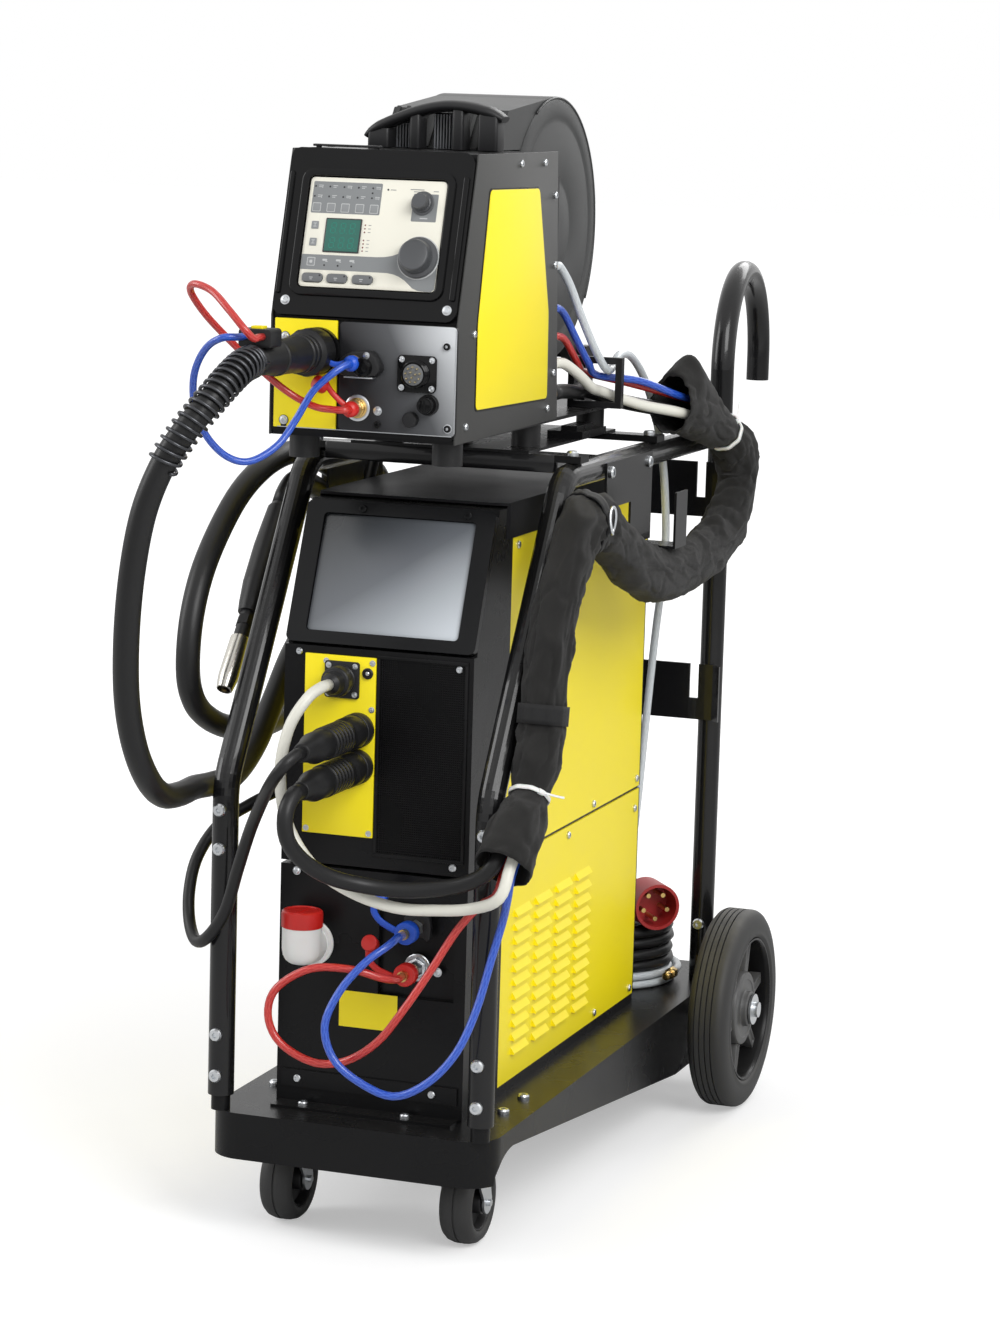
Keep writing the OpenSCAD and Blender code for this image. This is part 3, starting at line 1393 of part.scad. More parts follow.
mains_z = deck_z + 2 * gap + 2 * gas_d + gas_rise - gas_d + mains_d / 2;
mains_coil_at = [38, 755, mains_z];
mains_coil_r = 88;
mains_rise = 15;
plug_heading = -52;
plug_at = [55, 784, mains_z + 3 * mains_rise + mains_d / 2 + 31];
mains_in = [[-50, 676, 470], [-50, 694, 470], [-52, 716, 462], [-55, 733, 438], [-58, 737, 398],
    [-62, 722, 335], [-62, 698, 275], [-60, 686, 238], [-56, 690, 210], [-52, 706, 188],
    [-50, 720, mains_z + 2], [-50, 730, mains_z], [-50, 741, mains_z]];
mains_out = [[-50, 769, mains_z + 3 * mains_rise], [-50, 776, mains_z + 3 * mains_rise],
    [-44, 794, 233], [-30, 810, 243], [-8, 819, 252], [18, 817, 258], [36, 807, plug_at.z - 1],
    [plug_at.x - 14 * cos(plug_heading), plug_at.y - 14 * sin(plug_heading), plug_at.z], plug_at];
module mains_lead() {
    color(soot) placed() {
        tube(route(mains_in, 2), mains_d, 8);
        tube(route(mains_out, 2), mains_d, 8);
        translate([mains_x, mains_in[0].y, mains_in[0].z]) rotate([90, 0, 0])
            cylinder(h = mains_in[0].y - tower_depth - gland_reach, d1 = 16, d2 = 24);
    }
}

module mains_coil() {
    path = coil(mains_coil_at, mains_coil_r, 180, 8, 4, 15.5, mains_rise, 24);
    echo(mains_coil_gap = turn_gap(path, mains_d, 6));
    last = path[len(path) - 1];
    color(soot) placed() tube(concat([path[0] - [0, mains_d, 0]], path, [last + [0, mains_d, 0]]), mains_d, 6);
}

// Five-pin plug lying on the coil: boot, grip, collar and pins
module mains_plug() {
    pin_circle = 17;
    color([0.45, 0.06, 0.07]) placed() translate(plug_at) rotate([0, 90, plug_heading]) {
        cylinder(h = 22, d1 = 22, d2 = 34);
        translate([0, 0, 22]) cylinder(h = 40, d1 = 38, d2 = 52);
        translate([0, 0, 62]) difference() {
            cylinder(h = 50, d = 60);
            translate([0, 0, 12]) cylinder(h = 40, d = 52);
        }
    }
    color(brass) placed() translate(plug_at) rotate([0, 90, plug_heading])
        for (i = [0:4]) rotate([0, 0, i * 72]) translate([pin_circle, 0, 74]) cylinder(h = 30, d = 6);
}

chassis();
lower_posts();
side_rails();
feeder_platform();
rear_poles();
hose_hangers();
cart_bolts();
axle();
caster_heads();
rear_wheel_right();
rear_wheel_left();
caster_fork_right();
caster_fork_left();
caster_wheel_right();
caster_wheel_left();
cooler_base();
cooler_front();
side_panels();
power_front();
display_hood();
mesh_grille();
connector_plates();
power_top();
rear_panels();
case_screws();
filler_neck();
filler_cap();
panel_sockets();
coolant_couplings();
internal_units();
feeder_chassis();
feeder_sides();
front_bezel();
control_panel();
connector_panel();
carry_handle();
rear_fittings();
encoder_knob();
mode_knob();
soft_key_1();
soft_key_2();
soft_key_3();
spool_cover();
wire_spool();
torch_plug();
torch_spring();
torch_lead();
torch_gun();
torch_nozzle();
torch_trigger();
torch_hoses();
control_cable();
weld_cables();
coolant_hoses();
gas_hose();
gas_coil();
hose_sleeve();
mains_lead();
mains_coil();
mains_plug();
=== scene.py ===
import math

import bmesh
import bpy
from mathutils import Matrix, Vector, noise


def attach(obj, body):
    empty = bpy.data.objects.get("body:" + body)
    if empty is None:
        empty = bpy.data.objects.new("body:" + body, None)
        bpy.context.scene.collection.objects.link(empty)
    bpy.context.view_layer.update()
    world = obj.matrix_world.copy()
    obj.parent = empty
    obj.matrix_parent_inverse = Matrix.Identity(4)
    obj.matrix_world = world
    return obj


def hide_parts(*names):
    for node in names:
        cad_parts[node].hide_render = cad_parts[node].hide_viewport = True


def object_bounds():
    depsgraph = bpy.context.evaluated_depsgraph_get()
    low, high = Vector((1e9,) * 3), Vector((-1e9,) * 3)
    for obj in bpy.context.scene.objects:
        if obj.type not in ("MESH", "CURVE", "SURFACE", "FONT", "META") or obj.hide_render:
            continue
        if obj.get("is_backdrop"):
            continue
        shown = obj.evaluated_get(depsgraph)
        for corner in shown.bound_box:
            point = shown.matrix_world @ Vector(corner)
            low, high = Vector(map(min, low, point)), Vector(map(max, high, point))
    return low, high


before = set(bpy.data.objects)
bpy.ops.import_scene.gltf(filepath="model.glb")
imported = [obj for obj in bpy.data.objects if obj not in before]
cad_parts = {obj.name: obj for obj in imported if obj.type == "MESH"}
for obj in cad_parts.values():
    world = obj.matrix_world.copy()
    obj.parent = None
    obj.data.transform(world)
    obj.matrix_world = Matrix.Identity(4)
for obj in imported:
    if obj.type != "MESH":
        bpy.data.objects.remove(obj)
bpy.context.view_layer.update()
bpy.ops.object.select_all(action="DESELECT")

# ---- camera
# Stands to the front right, a little above the feeder, and looks down at the cart. Lengths below
# are millimetres on the cart: across, back from the tower's front face, and up from the floor.
MID_Y = 472.5434


def at(x, y, z):
    return Vector((x / 1000, (y - MID_Y) / 1000, z / 1000))


turn, lift, roll = 0.34116758, 0.15637874, 0.02857453
back = Vector((math.sin(turn) * math.cos(lift), -math.cos(turn) * math.cos(lift), math.sin(lift)))
right = Vector((0, 0, 1)).cross(back).normalized()
above = back.cross(right)
side = right * math.cos(roll) + above * math.sin(roll)
top = above * math.cos(roll) - right * math.sin(roll)
bpy.ops.object.camera_add()
camera = bpy.context.object
camera.name = "camera"
eye = Matrix.Translation(at(1552.0, -3964.66, 1346.25))
camera.matrix_world = eye @ Matrix((side, top, back)).transposed().to_4x4()
camera.data.lens = 104.44
camera.data.sensor_width = 36
camera.data.clip_end = 60
bpy.context.scene.camera = camera
bpy.context.scene.view_settings.view_transform = "Standard"

# ---- studio
# A white floor and sky. Soft lamps stand left, right and behind, and the sky fills the shadows.


def connect(tree, target, inputs):
    """Feeds a node's inputs, each with a value or with the socket that drives it."""
    for key, value in inputs.items():
        if isinstance(value, bpy.types.NodeSocket):
            tree.links.new(value, target.inputs[key])
        else:
            target.inputs[key].default_value = value
    return target


def node(tree, kind, inputs={}, **settings):
    new = tree.nodes.new("ShaderNode" + kind)
    for key, value in settings.items():
        setattr(new, key, value)
    return connect(tree, new, inputs).outputs


def step(tree, operation, *values):
    return node(tree, "Math", dict(enumerate(values)), operation=operation)[0]


def bare_tree(owner):
    owner.use_nodes = True
    owner.node_tree.nodes.clear()
    return owner.node_tree


world = bpy.data.worlds.new("studio")
bpy.context.scene.world = world
tree = bare_tree(world)
rays = node(tree, "LightPath")
seen = step(tree, "MAXIMUM", rays["Is Camera Ray"], rays["Is Transmission Ray"])
shown = step(tree, "MAXIMUM", seen, rays["Is Glossy Ray"])
glow = node(tree, "Background", {"Strength": 0.66})[0]
sky = node(tree, "Background", {"Strength": 1.0, "Color": (1, 1, 1, 1)})[0]
node(tree, "OutputWorld", {0: node(tree, "MixShader", {0: shown, 1: glow, 2: sky})[0]})


def lamp(name, place, aim, size, watts):
    bpy.ops.object.light_add(type="AREA", location=place)
    light = bpy.context.object
    light.name = name
    light.data.shape = "RECTANGLE"
    light.data.size, light.data.size_y = size
    light.data.energy = watts
    light.rotation_euler = (Vector(aim) - Vector(place)).to_track_quat("-Z", "Y").to_euler()


lamp("key_lamp", (2.6, -2.4, 3.0), (0, 0, 0.6), (2.2, 2.2), 112)
lamp("left_lamp", (-3.2, -1.6, 2.2), (0, 0, 0.7), (1.4, 2.4), 52)
lamp("rear_lamp", (0.6, 3.2, 2.8), (0, 0, 0.8), (2.4, 1.2), 40)

bpy.ops.mesh.primitive_plane_add(size=60, location=(0, 0, -0.0006))
floor = bpy.context.object
floor.name = "floor"
paper = bpy.data.materials.new("paper")
tree = bare_tree(paper)
matt = node(tree, "BsdfDiffuse", {"Color": (0.70, 0.70, 0.70, 1)})[0]
reach = node(tree, "VectorMath", {0: node(tree, "TexCoord")["Object"]}, operation="LENGTH")["Value"]
fade = node(tree, "MapRange", {"Value": reach, "From Min": 0.6, "From Max": 4.0, "To Min": 0.40, "To Max": 0.80})
strength = step(tree, "MULTIPLY", node(tree, "LightPath")["Is Camera Ray"], fade["Result"])
lit = node(tree, "Emission", {"Color": (1, 1, 1, 1), "Strength": strength})[0]
node(tree, "OutputMaterial", {0: node(tree, "AddShader", {0: matt, 1: lit})[0]})
floor.data.materials.append(paper)
floor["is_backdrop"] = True

# ---- shared surface effects
# Node groups for what every finish shows: a fine grain with slow mottling, dust that settles on
# what faces up, the weave of cloth, and the braid inside a clear hose wall.


def effect(name, inputs, *outputs):
    """A node group that takes a vector and numbers: the group, what it is given and its result node."""
    group = bpy.data.node_groups.new(name, "ShaderNodeTree")
    group.interface.new_socket("Vector", in_out="INPUT", socket_type="NodeSocketVector")
    for label, value in inputs.items():
        group.interface.new_socket(label, in_out="INPUT", socket_type="NodeSocketFloat").default_value = value
    for label in outputs:
        group.interface.new_socket(label, in_out="OUTPUT", socket_type="NodeSocketFloat")
    return group, group.nodes.new("NodeGroupInput").outputs, group.nodes.new("NodeGroupOutput")


def split(tree, vector):
    return node(tree, "SeparateXYZ", {0: vector})


grain, given, result = effect("grain_and_mottle", {"Grain": 900.0, "Mottle": 9.0}, "Height", "Mottle")
for scale, detail, label in (("Grain", 2, "Height"), ("Mottle", 4, "Mottle")):
    speckle = node(grain, "TexNoise", {"Vector": given["Vector"], "Scale": given[scale], "Detail": detail})
    connect(grain, result, {label: speckle["Fac"]})

dust, given, result = effect("settled_dust", {"Amount": 0.2}, "Mask")
specks = node(dust, "TexNoise", {"Vector": given["Vector"], "Scale": 34, "Detail": 6})["Fac"]
flat = step(dust, "MAXIMUM", split(dust, node(dust, "NewGeometry")["Normal"])["Z"], 0.0)
settled = step(dust, "MULTIPLY", step(dust, "POWER", flat, 2.0), specks)
connect(dust, result, {"Mask": step(dust, "MULTIPLY", settled, given["Amount"])})

weave, given, result = effect("plain_weave", {"Threads": 1400.0}, "Height")
parts = split(weave, given["Vector"])
waves = [step(weave, "SINE", step(weave, "MULTIPLY", parts[axis], given["Threads"])) for axis in "XY"]
connect(weave, result, {"Height": step(weave, "MULTIPLY_ADD", step(weave, "MULTIPLY", *waves), 0.5, 0.5)})

braid, given, result = effect("hose_braid", {"Strands": 8.0, "Pitch": 60.0}, "Mask")
parts = split(braid, given["Vector"])
around = step(braid, "MULTIPLY", parts["X"], given["Strands"])
lengthwise = step(braid, "MULTIPLY", parts["Y"], given["Pitch"])
strands = []
for sign in (1, -1):
    lane = step(braid, "FRACT", step(braid, "MULTIPLY_ADD", lengthwise, sign, around))
    strands.append(step(braid, "LESS_THAN", step(braid, "ABSOLUTE", step(braid, "SUBTRACT", lane, 0.5)), 0.12))
connect(braid, result, {"Mask": step(braid, "MAXIMUM", *strands)})


def tint(tree, factor, a, b):
    return node(tree, "Mix", {"Factor": factor, "A": a, "B": b}, data_type="RGBA")["Result"]


def finish(name, colour, rough, grain_size=900.0, bump=0.05, mottle=0.10, dusty=0.0, **shader):
    """A material with grain, mottling and dust; the other values go straight to the shader's sockets."""
    material = bpy.data.materials.new(name)
    material.use_nodes = True
    tree = material.node_tree
    place = node(tree, "TexCoord")["Object"]
    texture = node(tree, "Group", {"Vector": place, "Grain": grain_size}, node_tree=grain)
    light = [min(1, c * (1 + mottle) + 0.003) for c in colour]
    base = tint(tree, texture["Mottle"], (*[c * (1 - mottle) for c in colour], 1), (*light, 1))
    if dusty:
        mask = node(tree, "Group", {"Vector": place, "Amount": dusty}, node_tree=dust)["Mask"]
        base = tint(tree, mask, base, (0.42, 0.40, 0.37, 1))
    connect(tree, tree.nodes["Principled BSDF"], {
        "Base Color": base, "Roughness": step(tree, "MULTIPLY_ADD", texture["Mottle"], 0.16, rough - 0.08),
        "Normal": node(tree, "Bump", {"Strength": bump, "Distance": 0.0006, "Height": texture["Height"]})["Normal"],
        **{label.replace("_", " "): value for label, value in shader.items()}})
    return material


tube_black = finish("tube_black_powder", (0.0060, 0.0060, 0.0066), 0.24, 1300, 0.10, 0.15, 0.05, Coat_Weight=0.25,
                    Specular_IOR_Level=0.25)
sheet_black = finish("sheet_black_powder", (0.0050, 0.0050, 0.0055), 0.28, 1500, 0.16, 0.15, 0.03,
                     Specular_IOR_Level=0.17)
side_black = finish("side_black_powder", (0.040, 0.040, 0.0385), 0.42, 1700, 0.18, 0.10, 0.04,
                    Specular_IOR_Level=0.4)
moulded_black = finish("moulded_black", (0.0110, 0.0110, 0.0120), 0.42, 1100, 0.14, 0.12, 0.04,
                       Specular_IOR_Level=0.32)
cover_black = finish("cover_black", (0.028, 0.029, 0.029), 0.40, 1500, 0.16, 0.08, 0.04, Specular_IOR_Level=0.4)
gloss_black = finish("gloss_black", (0.0024, 0.0024, 0.0028), 0.13, 700, 0.02, 0.10, 0.0, Coat_Weight=0.16,
                     Specular_IOR_Level=0.14)
hood_black = finish("hood_black", (0.0050, 0.0052, 0.0058), 0.22, 1500, 0.10, 0.10, 0.02, Specular_IOR_Level=0.20)
# Painted shade: a copy of the black paint for the case top, reflecting almost none of the sky, so the up-facing top
# stays dark.
top_black_painted_shade = finish("top_black_painted_shade", (0.012, 0.012, 0.013), 0.36, 1500, 0.10, 0.15, 0.0, Specular_IOR_Level=0.025)
yellow = finish("yellow_powder", (0.99, 0.81, 0.002), 0.40, 1400, 0.08, 0.02, 0.0, Coat_Weight=0.04)
zinc = finish("zinc_plate", (0.62, 0.64, 0.66), 0.30, 600, 0.06, 0.12, Metallic=1.0)
brass = finish("turned_brass", (0.62, 0.43, 0.16), 0.28, 600, 0.05, 0.12, Metallic=1.0)
rubber = finish("tyre_rubber", (0.022, 0.022, 0.022), 0.62, 700, 0.25, 0.2, 0.25)
cable_rubber = finish("cable_rubber", (0.0085, 0.0085, 0.0090), 0.40, 900, 0.12, 0.12, 0.03, Specular_IOR_Level=0.32)
cream = finish("cream_membrane", (0.80, 0.78, 0.68), 0.42, 1600, 0.04, 0.02)
key_grey = finish("key_grey", (0.13, 0.135, 0.14), 0.48, 1200, 0.10, 0.08)
print_grey = finish("printed_grey", (0.21, 0.22, 0.225), 0.46, 1200, 0.04, 0.05)
blue_plastic = finish("blue_plastic", (0.008, 0.075, 0.52), 0.36, 900, 0.06, 0.06)
red_plastic = finish("red_plastic", (0.56, 0.014, 0.010), 0.34, 900, 0.06, 0.06)
white_plastic = finish("white_plastic", (0.84, 0.84, 0.82), 0.34, 800, 0.03, 0.02, Subsurface_Weight=0.08,
                       Subsurface_Scale=0.004)
plug_red = finish("plug_red", (0.34, 0.014, 0.014), 0.44, 1000, 0.10, 0.08)


def paint(nodes, first, *others):
    """Gives CAD nodes a finish, and any other finish where its test of the place holds."""
    for name in nodes.split():
        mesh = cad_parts[name].data
        mesh.materials.clear()
        for material in (first, *(other[0] for other in others)):
            mesh.materials.append(material)
        for face in mesh.polygons:
            x, y, z = face.center * 1000
            holds = [i for i, (_, test) in enumerate(others, 1) if test(x, y + MID_Y, z)]
            face.material_index = max(holds, default=0)


# ---- hoses and cables
# Each is one unbroken length, swept along its route as it lies. The routes leave their fitting
# straight, hang in loose loops, and what is not needed is wound up on the rear of the deck.


def between(a, b, c, d, t):
    return (2 * b + (c - a) * t + (2 * a - 5 * b + 4 * c - d) * t * t + (3 * b - a - 3 * c + d) * t ** 3) / 2


def route(points, steps):
    p = [Vector(q) for q in points]
    curve = [p[0]]
    for i in range(1, len(p) - 2):
        curve += [between(p[i - 1], p[i], p[i + 1], p[i + 2], k / steps) for k in range(steps)]
    return curve + [p[-2], p[-1]]


def headings(path):
    last = len(path) - 1
    return [(path[min(last, i + 1)] - path[max(0, i - 1)]).normalized() for i in range(last + 1)]


def normals(dirs, first):
    carried = (first - first.dot(dirs[0]) * dirs[0]).normalized()
    result = [carried]
    for heading in dirs[1:]:
        carried = (carried - carried.dot(heading) * heading).normalized()
        result.append(carried)
    return result


def seat(piece, material, body, node):
    """Gives a piece its material and body, and hides the CAD nodes that it stands for."""
    piece.data.materials.append(material)
    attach(piece, body)
    if node:
        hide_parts(*node.split())
    return piece


def swept(name, path, radius, sides, material, slot, body="cart", first=None, ends=True, node=None):
    """A tube along a path in cart millimetres; radius is a number or a function of ring and angle."""
    dirs = headings(path)
    first = first or (Vector((0, 0, 1)) if abs(dirs[0].x) > 0.7 else Vector((1, 0, 0)))
    ns = normals(dirs, first)
    mesh = bpy.data.meshes.new(name)
    build = bmesh.new()
    uv = build.loops.layers.uv.new("along")
    run, rings = [0.0], []
    for a, b in zip(path, path[1:]):
        run.append(run[-1] + (b - a).length / 1000)
    for i, point in enumerate(path):
        side_way = dirs[i].cross(ns[i])
        ring = []
        for k in range(sides):
            a = 2 * math.pi * k / sides
            r = radius(i, a) if callable(radius) else radius
            ring.append(build.verts.new(at(*(point + r * (math.cos(a) * ns[i] + math.sin(a) * side_way)))))
        rings.append(ring)
    for i in range(len(path) - 1):
        for k in range(sides):
            j = (k + 1) % sides
            face = build.faces.new((rings[i][k], rings[i][j], rings[i + 1][j], rings[i + 1][k]))
            face.smooth = True
            for loop, (u, v) in zip(face.loops, ((k, i), (k + 1, i), (k + 1, i + 1), (k, i + 1))):
                loop[uv].uv = (u / sides, run[v])
    if ends:
        build.faces.new(rings[0][::-1])
        build.faces.new(rings[-1])
    build.to_mesh(mesh)
    build.free()
    piece = bpy.data.objects.new(name, mesh)
    bpy.context.scene.collection.objects.link(piece)
    return seat(piece, material, body, node)


def hose_wall(name, colour, strand, rough):
    """A soft plastic wall with the braid showing through it."""
    material = finish(name, colour, rough, 900, 0.05, 0.05, Coat_Weight=0.4, Coat_Roughness=0.12)
    tree = material.node_tree
    bsdf = tree.nodes["Principled BSDF"]
    texture = node(tree, "Group", {"Strands": 8.0, "Pitch": 55.0, "Vector": node(tree, "TexCoord")["UV"]},
                   node_tree=braid)
    shade = step(tree, "MULTIPLY", texture["Mask"], 0.35)
    base = bsdf.inputs["Base Color"].links[0].from_socket
    connect(tree, bsdf, {"Base Color": tint(tree, shade, base, (*strand, 1))})
    return material


blue_hose = hose_wall("blue_hose_wall", (0.006, 0.058, 0.44), (0.10, 0.24, 0.80), 0.35)
red_hose = hose_wall("red_hose_wall", (0.46, 0.010, 0.008), (0.80, 0.12, 0.09), 0.35)
gas_wall = hose_wall("clear_hose_wall", (0.56, 0.60, 0.62), (0.80, 0.82, 0.84), 0.30)
white_sheath = finish("white_sheath", (0.76, 0.75, 0.67), 0.38, 700, 0.04, 0.03)

# Torch lead: a 28 mm rubber-sheathed bundle, three metres long. It runs from the plug's boot down
# beside the cart, over the left hanger, round once more and down to the gun.
lead_points = [
    (-51, -250, 1022), (-51, -256, 1022), (-53, -281, 1017), (-60, -306, 1001), (-72, -328, 978), (-90, -343, 950),
    (-110, -350, 915), (-130, -350, 865), (-144, -346, 800), (-154, -336, 730), (-161, -318, 662), (-163, -292, 606),
    (-164, -254, 563), (-169, -204, 538), (-178, -140, 528), (-188, -80, 524), (-192, -20, 518), (-192, 40, 518),
    (-192, 100, 544), (-192, 153, 589), (-192, 205, 635), (-192, 265, 668), (-192, 335, 690), (-193, 400, 712),
    (-192, 458, 746), (-191, 486, 788), (-191, 468, 826), (-192, 432, 838), (-193, 397, 833), (-199, 350, 845),
    (-206, 300, 863), (-214, 250, 873), (-220, 180, 862), (-224, 106, 830), (-226, 31, 769), (-226, -8, 710),
    (-226, -18, 648), (-226, 0, 608), (-226, 45, 580), (-226, 110, 560), (-226, 200, 548), (-226, 300, 555),
    (-226, 390, 583), (-226, 445, 622), (-226, 470, 680), (-225, 470, 738), (-217, 447, 781), (-209, 420, 799),
    (-209, 397, 798), (-208, 355, 808), (-206, 305, 825), (-203, 255, 838), (-200, 221, 839), (-200, 199, 826),
    (-200, 189, 814),
]
lead_path = route(lead_points, 6)
torch_lead = swept("torch_lead_sheath", lead_path, 14, 20, cable_rubber, "cord_black", node="torch_lead")

# Kink spring: 4 mm round wire, wound in twenty curls over the first bend of the lead, with its
# first end laid back into the boot.
spring_curls, spring_r = 20, 16.6
spring_count = spring_curls * 20


def on_lead(u):
    i = min(len(lead_points) - 3, 1 + int(u))
    p = [Vector(q) for q in lead_points[i - 1:i + 3]]
    return between(*p, u - i + 1)


core = [on_lead(i / spring_count * 5) for i in range(spring_count + 1)]
core_dirs = headings(core)
core_ns = normals(core_dirs, Vector((1, 0, 0)))
spring_path = []
for i, point in enumerate(core):
    a = 2 * math.pi * i / 20
    spring_path.append(point + spring_r * (math.cos(a) * core_ns[i] + math.sin(a) * core_dirs[i].cross(core_ns[i])))
spring_path.insert(0, Vector((spring_path[0].x, -250, spring_path[0].z)))
spring_steel = finish("blued_wire", (0.07, 0.072, 0.078), 0.34, 900, 0.05, 0.1, Metallic=0.9)
torch_spring = swept("kink_spring", spring_path, 2, 8, spring_steel, "spring_steel", node="torch_spring")

# Torch cooling hoses: two 8 mm hoses in thin loops, from the feeder's couplings back to the boot.
torch_blue = [
    (-3, -95, 1012), (-3, -108, 1012), (-14, -122, 1002), (-34, -128, 982), (-50, -134, 952), (-64, -152, 924),
    (-84, -180, 908), (-104, -198, 914), (-121, -214, 937), (-128, -228, 968), (-124, -242, 997), (-112, -256, 1020),
    (-94, -270, 1038), (-75, -278, 1047), (-62, -270, 1048), (-60, -262, 1048), (-60, -250, 1048),
]
torch_red = [
    (-4, -95, 962), (-4, -106, 962), (-18, -108, 962), (-42, -104, 964), (-70, -110, 978), (-95, -135, 1005),
    (-114, -175, 1038), (-127, -208, 1066), (-132, -234, 1090), (-121, -250, 1100), (-96, -260, 1094),
    (-70, -274, 1076), (-50, -280, 1058), (-43, -272, 1048), (-42, -262, 1048), (-42, -250, 1048),
]
for name, points, wall in (("torch_hose_blue", torch_blue, blue_hose), ("torch_hose_red", torch_red, red_hose)):
    path = route(points, 8)
    hose = swept(name, path, 4, 16, wall, "hose_blue", node="torch_hoses")

# Textile sleeve: a strip of black canvas sewn into a 50 mm tube that holds the bundle together. It
# climbs from below the grille, lies along the right rail, and is tied up at the rear pole.
sleeve_points = [
    (197, -120, 476), (200, -95, 505), (200, -50, 542), (200, -20, 595), (200, -6, 655), (200, 12, 712), (200, 50, 775),
    (200, 92, 820), (200, 140, 831), (202, 200, 806), (203, 290, 765), (203, 385, 744), (202, 500, 741),
    (201, 595, 747), (201, 660, 766), (202, 703, 800), (202, 715, 835), (200, 698, 866), (198, 665, 888),
    (191, 618, 904), (182, 565, 919), (172, 515, 930),
]
sleeve_core = route(sleeve_points, 2)
sleeve_dirs = headings(sleeve_core)
sleeve_ns = normals(sleeve_dirs, Vector((1, 0, 0)))


def sleeve_at(i):
    if i == 0:
        return 0
    return len(sleeve_core) - 1 if i == len(sleeve_points) - 1 else 1 + (i - 1) * 2


def inside(u, v):
    spots = []
    for i, point in enumerate(sleeve_points):
        k = sleeve_at(i)
        spots.append(tuple(Vector(point) + u * sleeve_ns[k] + v * sleeve_dirs[k].cross(sleeve_ns[k])))
    return spots


# Control cable and weld cables: a 13 mm white sheath, and black rubber cables of 18 and 14 mm.
control_points = [
    (-42, -45, 648), (-42, -62, 648), (-50, -86, 638), (-64, -104, 606), (-70, -112, 558), (-58, -120, 505),
    (-28, -120, 460), (18, -116, 432), (68, -110, 418), (116, -112, 420), (162, -120, 428), (200, -138, 447),
    *inside(11, -8), (146, 470, 934), (110, 430, 951), (109, 400, 957), (103, 368, 974), (94, 342, 988),
    (88, 326, 990), (88, 305, 990),
]
weld_points = [
    (-22, -169, 550), (-22, -186, 550), (-24, -204, 532), (-22, -204, 504), (-12, -185, 478), (10, -158, 456),
    (42, -132, 444), (85, -120, 441), (130, -114, 447), (165, -118, 460), *inside(-10, -4), (125, 472, 936),
    (90, 430, 951), (90, 390, 952), (88, 350, 955), (88, 328, 955), (88, 305, 955),
]
return_points = [
    (-22, -169, 592), (-22, -184, 592), (-30, -198, 582), (-46, -192, 562), (-68, -165, 535), (-98, -128, 492),
    (-122, -106, 440), (-141, -94, 390), (-165, -86, 356), (-188, -68, 345), (-207, -45, 362), (-215, -28, 395),
    (-214, -8, 430), (-202, 25, 462), (-178, 62, 482), (-152, 98, 500), (-134, 130, 535), (-131, 165, 600),
    (-131, 210, 700), (-131, 262, 800), (-131, 300, 860), (-131, 330, 905), (-128, 345, 945), (-112, 350, 978),
    (-96, 342, 996), (-88, 326, 1000), (-88, 305, 1000),
]
blue_points = [
    (56, -50, 373), (56, -66, 373), (50, -84, 366), (32, -102, 350), (10, -118, 320), (-3, -130, 282), (8, -132, 246),
    (38, -130, 222), (80, -130, 210), (120, -130, 230), (150, -122, 266), (166, -106, 312), (176, -90, 366),
    (187, -88, 408), (200, -110, 440), *inside(7, 14), (146, 474, 962), (106, 430, 970), (104, 400, 986),
    (97, 372, 1016), (90, 348, 1045), (88, 326, 1055), (88, 305, 1055),
]
red_points = [
    (56, -50, 325), (56, -64, 325), (46, -84, 330), (15, -100, 340), (-30, -108, 338), (-70, -110, 312),
    (-80, -110, 280), (-65, -110, 250), (-25, -110, 232), (15, -112, 238), (55, -118, 266), (86, -122, 306),
    (112, -110, 350), (137, -96, 396), (162, -92, 426), (187, -112, 444), *inside(-4, 15.5), (129, 474, 959),
    (91, 430, 972), (92, 400, 982), (92, 372, 1000), (90, 348, 1017), (88, 326, 1022), (88, 305, 1022),
]
for name, points, diameter, material, slot, node_name, stiffness in (
    ("control_cable_sheath", control_points, 13, white_sheath, "cord_white", "control_cable", "medium"),
    ("weld_cable", weld_points, 18, cable_rubber, "cord_black", "weld_cables", "stiff"),
    ("return_cable", return_points, 14, cable_rubber, "cord_black", "weld_cables", "stiff"),
    ("coolant_hose_blue", blue_points, 9, blue_hose, "hose_blue", "coolant_hoses", "medium"),
    ("coolant_hose_red", red_points, 9, red_hose, "hose_blue", "coolant_hoses", "medium"),
):
    path = route(points, 5)
    cord = swept(name, path, diameter / 2, 18, material, slot, node=node_name)


# Gas hose and mains cable: both drop behind the tower and end in a coil on the deck, the gas hose
# in two layers below and the mains cable in four layers on top of it.


def coil(centre, r_out, start, turns, layers, pitch, rise, steps):
    per = turns / layers
    points = []
    for i in range(int(turns * steps) + 1):
        t = i / steps
        layer = min(layers - 1, int(t / per))
        into = t / per - layer
        depth = per * pitch * (into if layer % 2 == 0 else 1 - into)
        climb = sum(max(0, min(1, (t - j * per) / 0.5 + 0.5)) for j in range(1, layers))
        a = math.radians(start - 360 * t)
        r = r_out - depth
        points.append(Vector(centre) + Vector((r * math.cos(a), r * math.sin(a), rise * climb)))
    return points


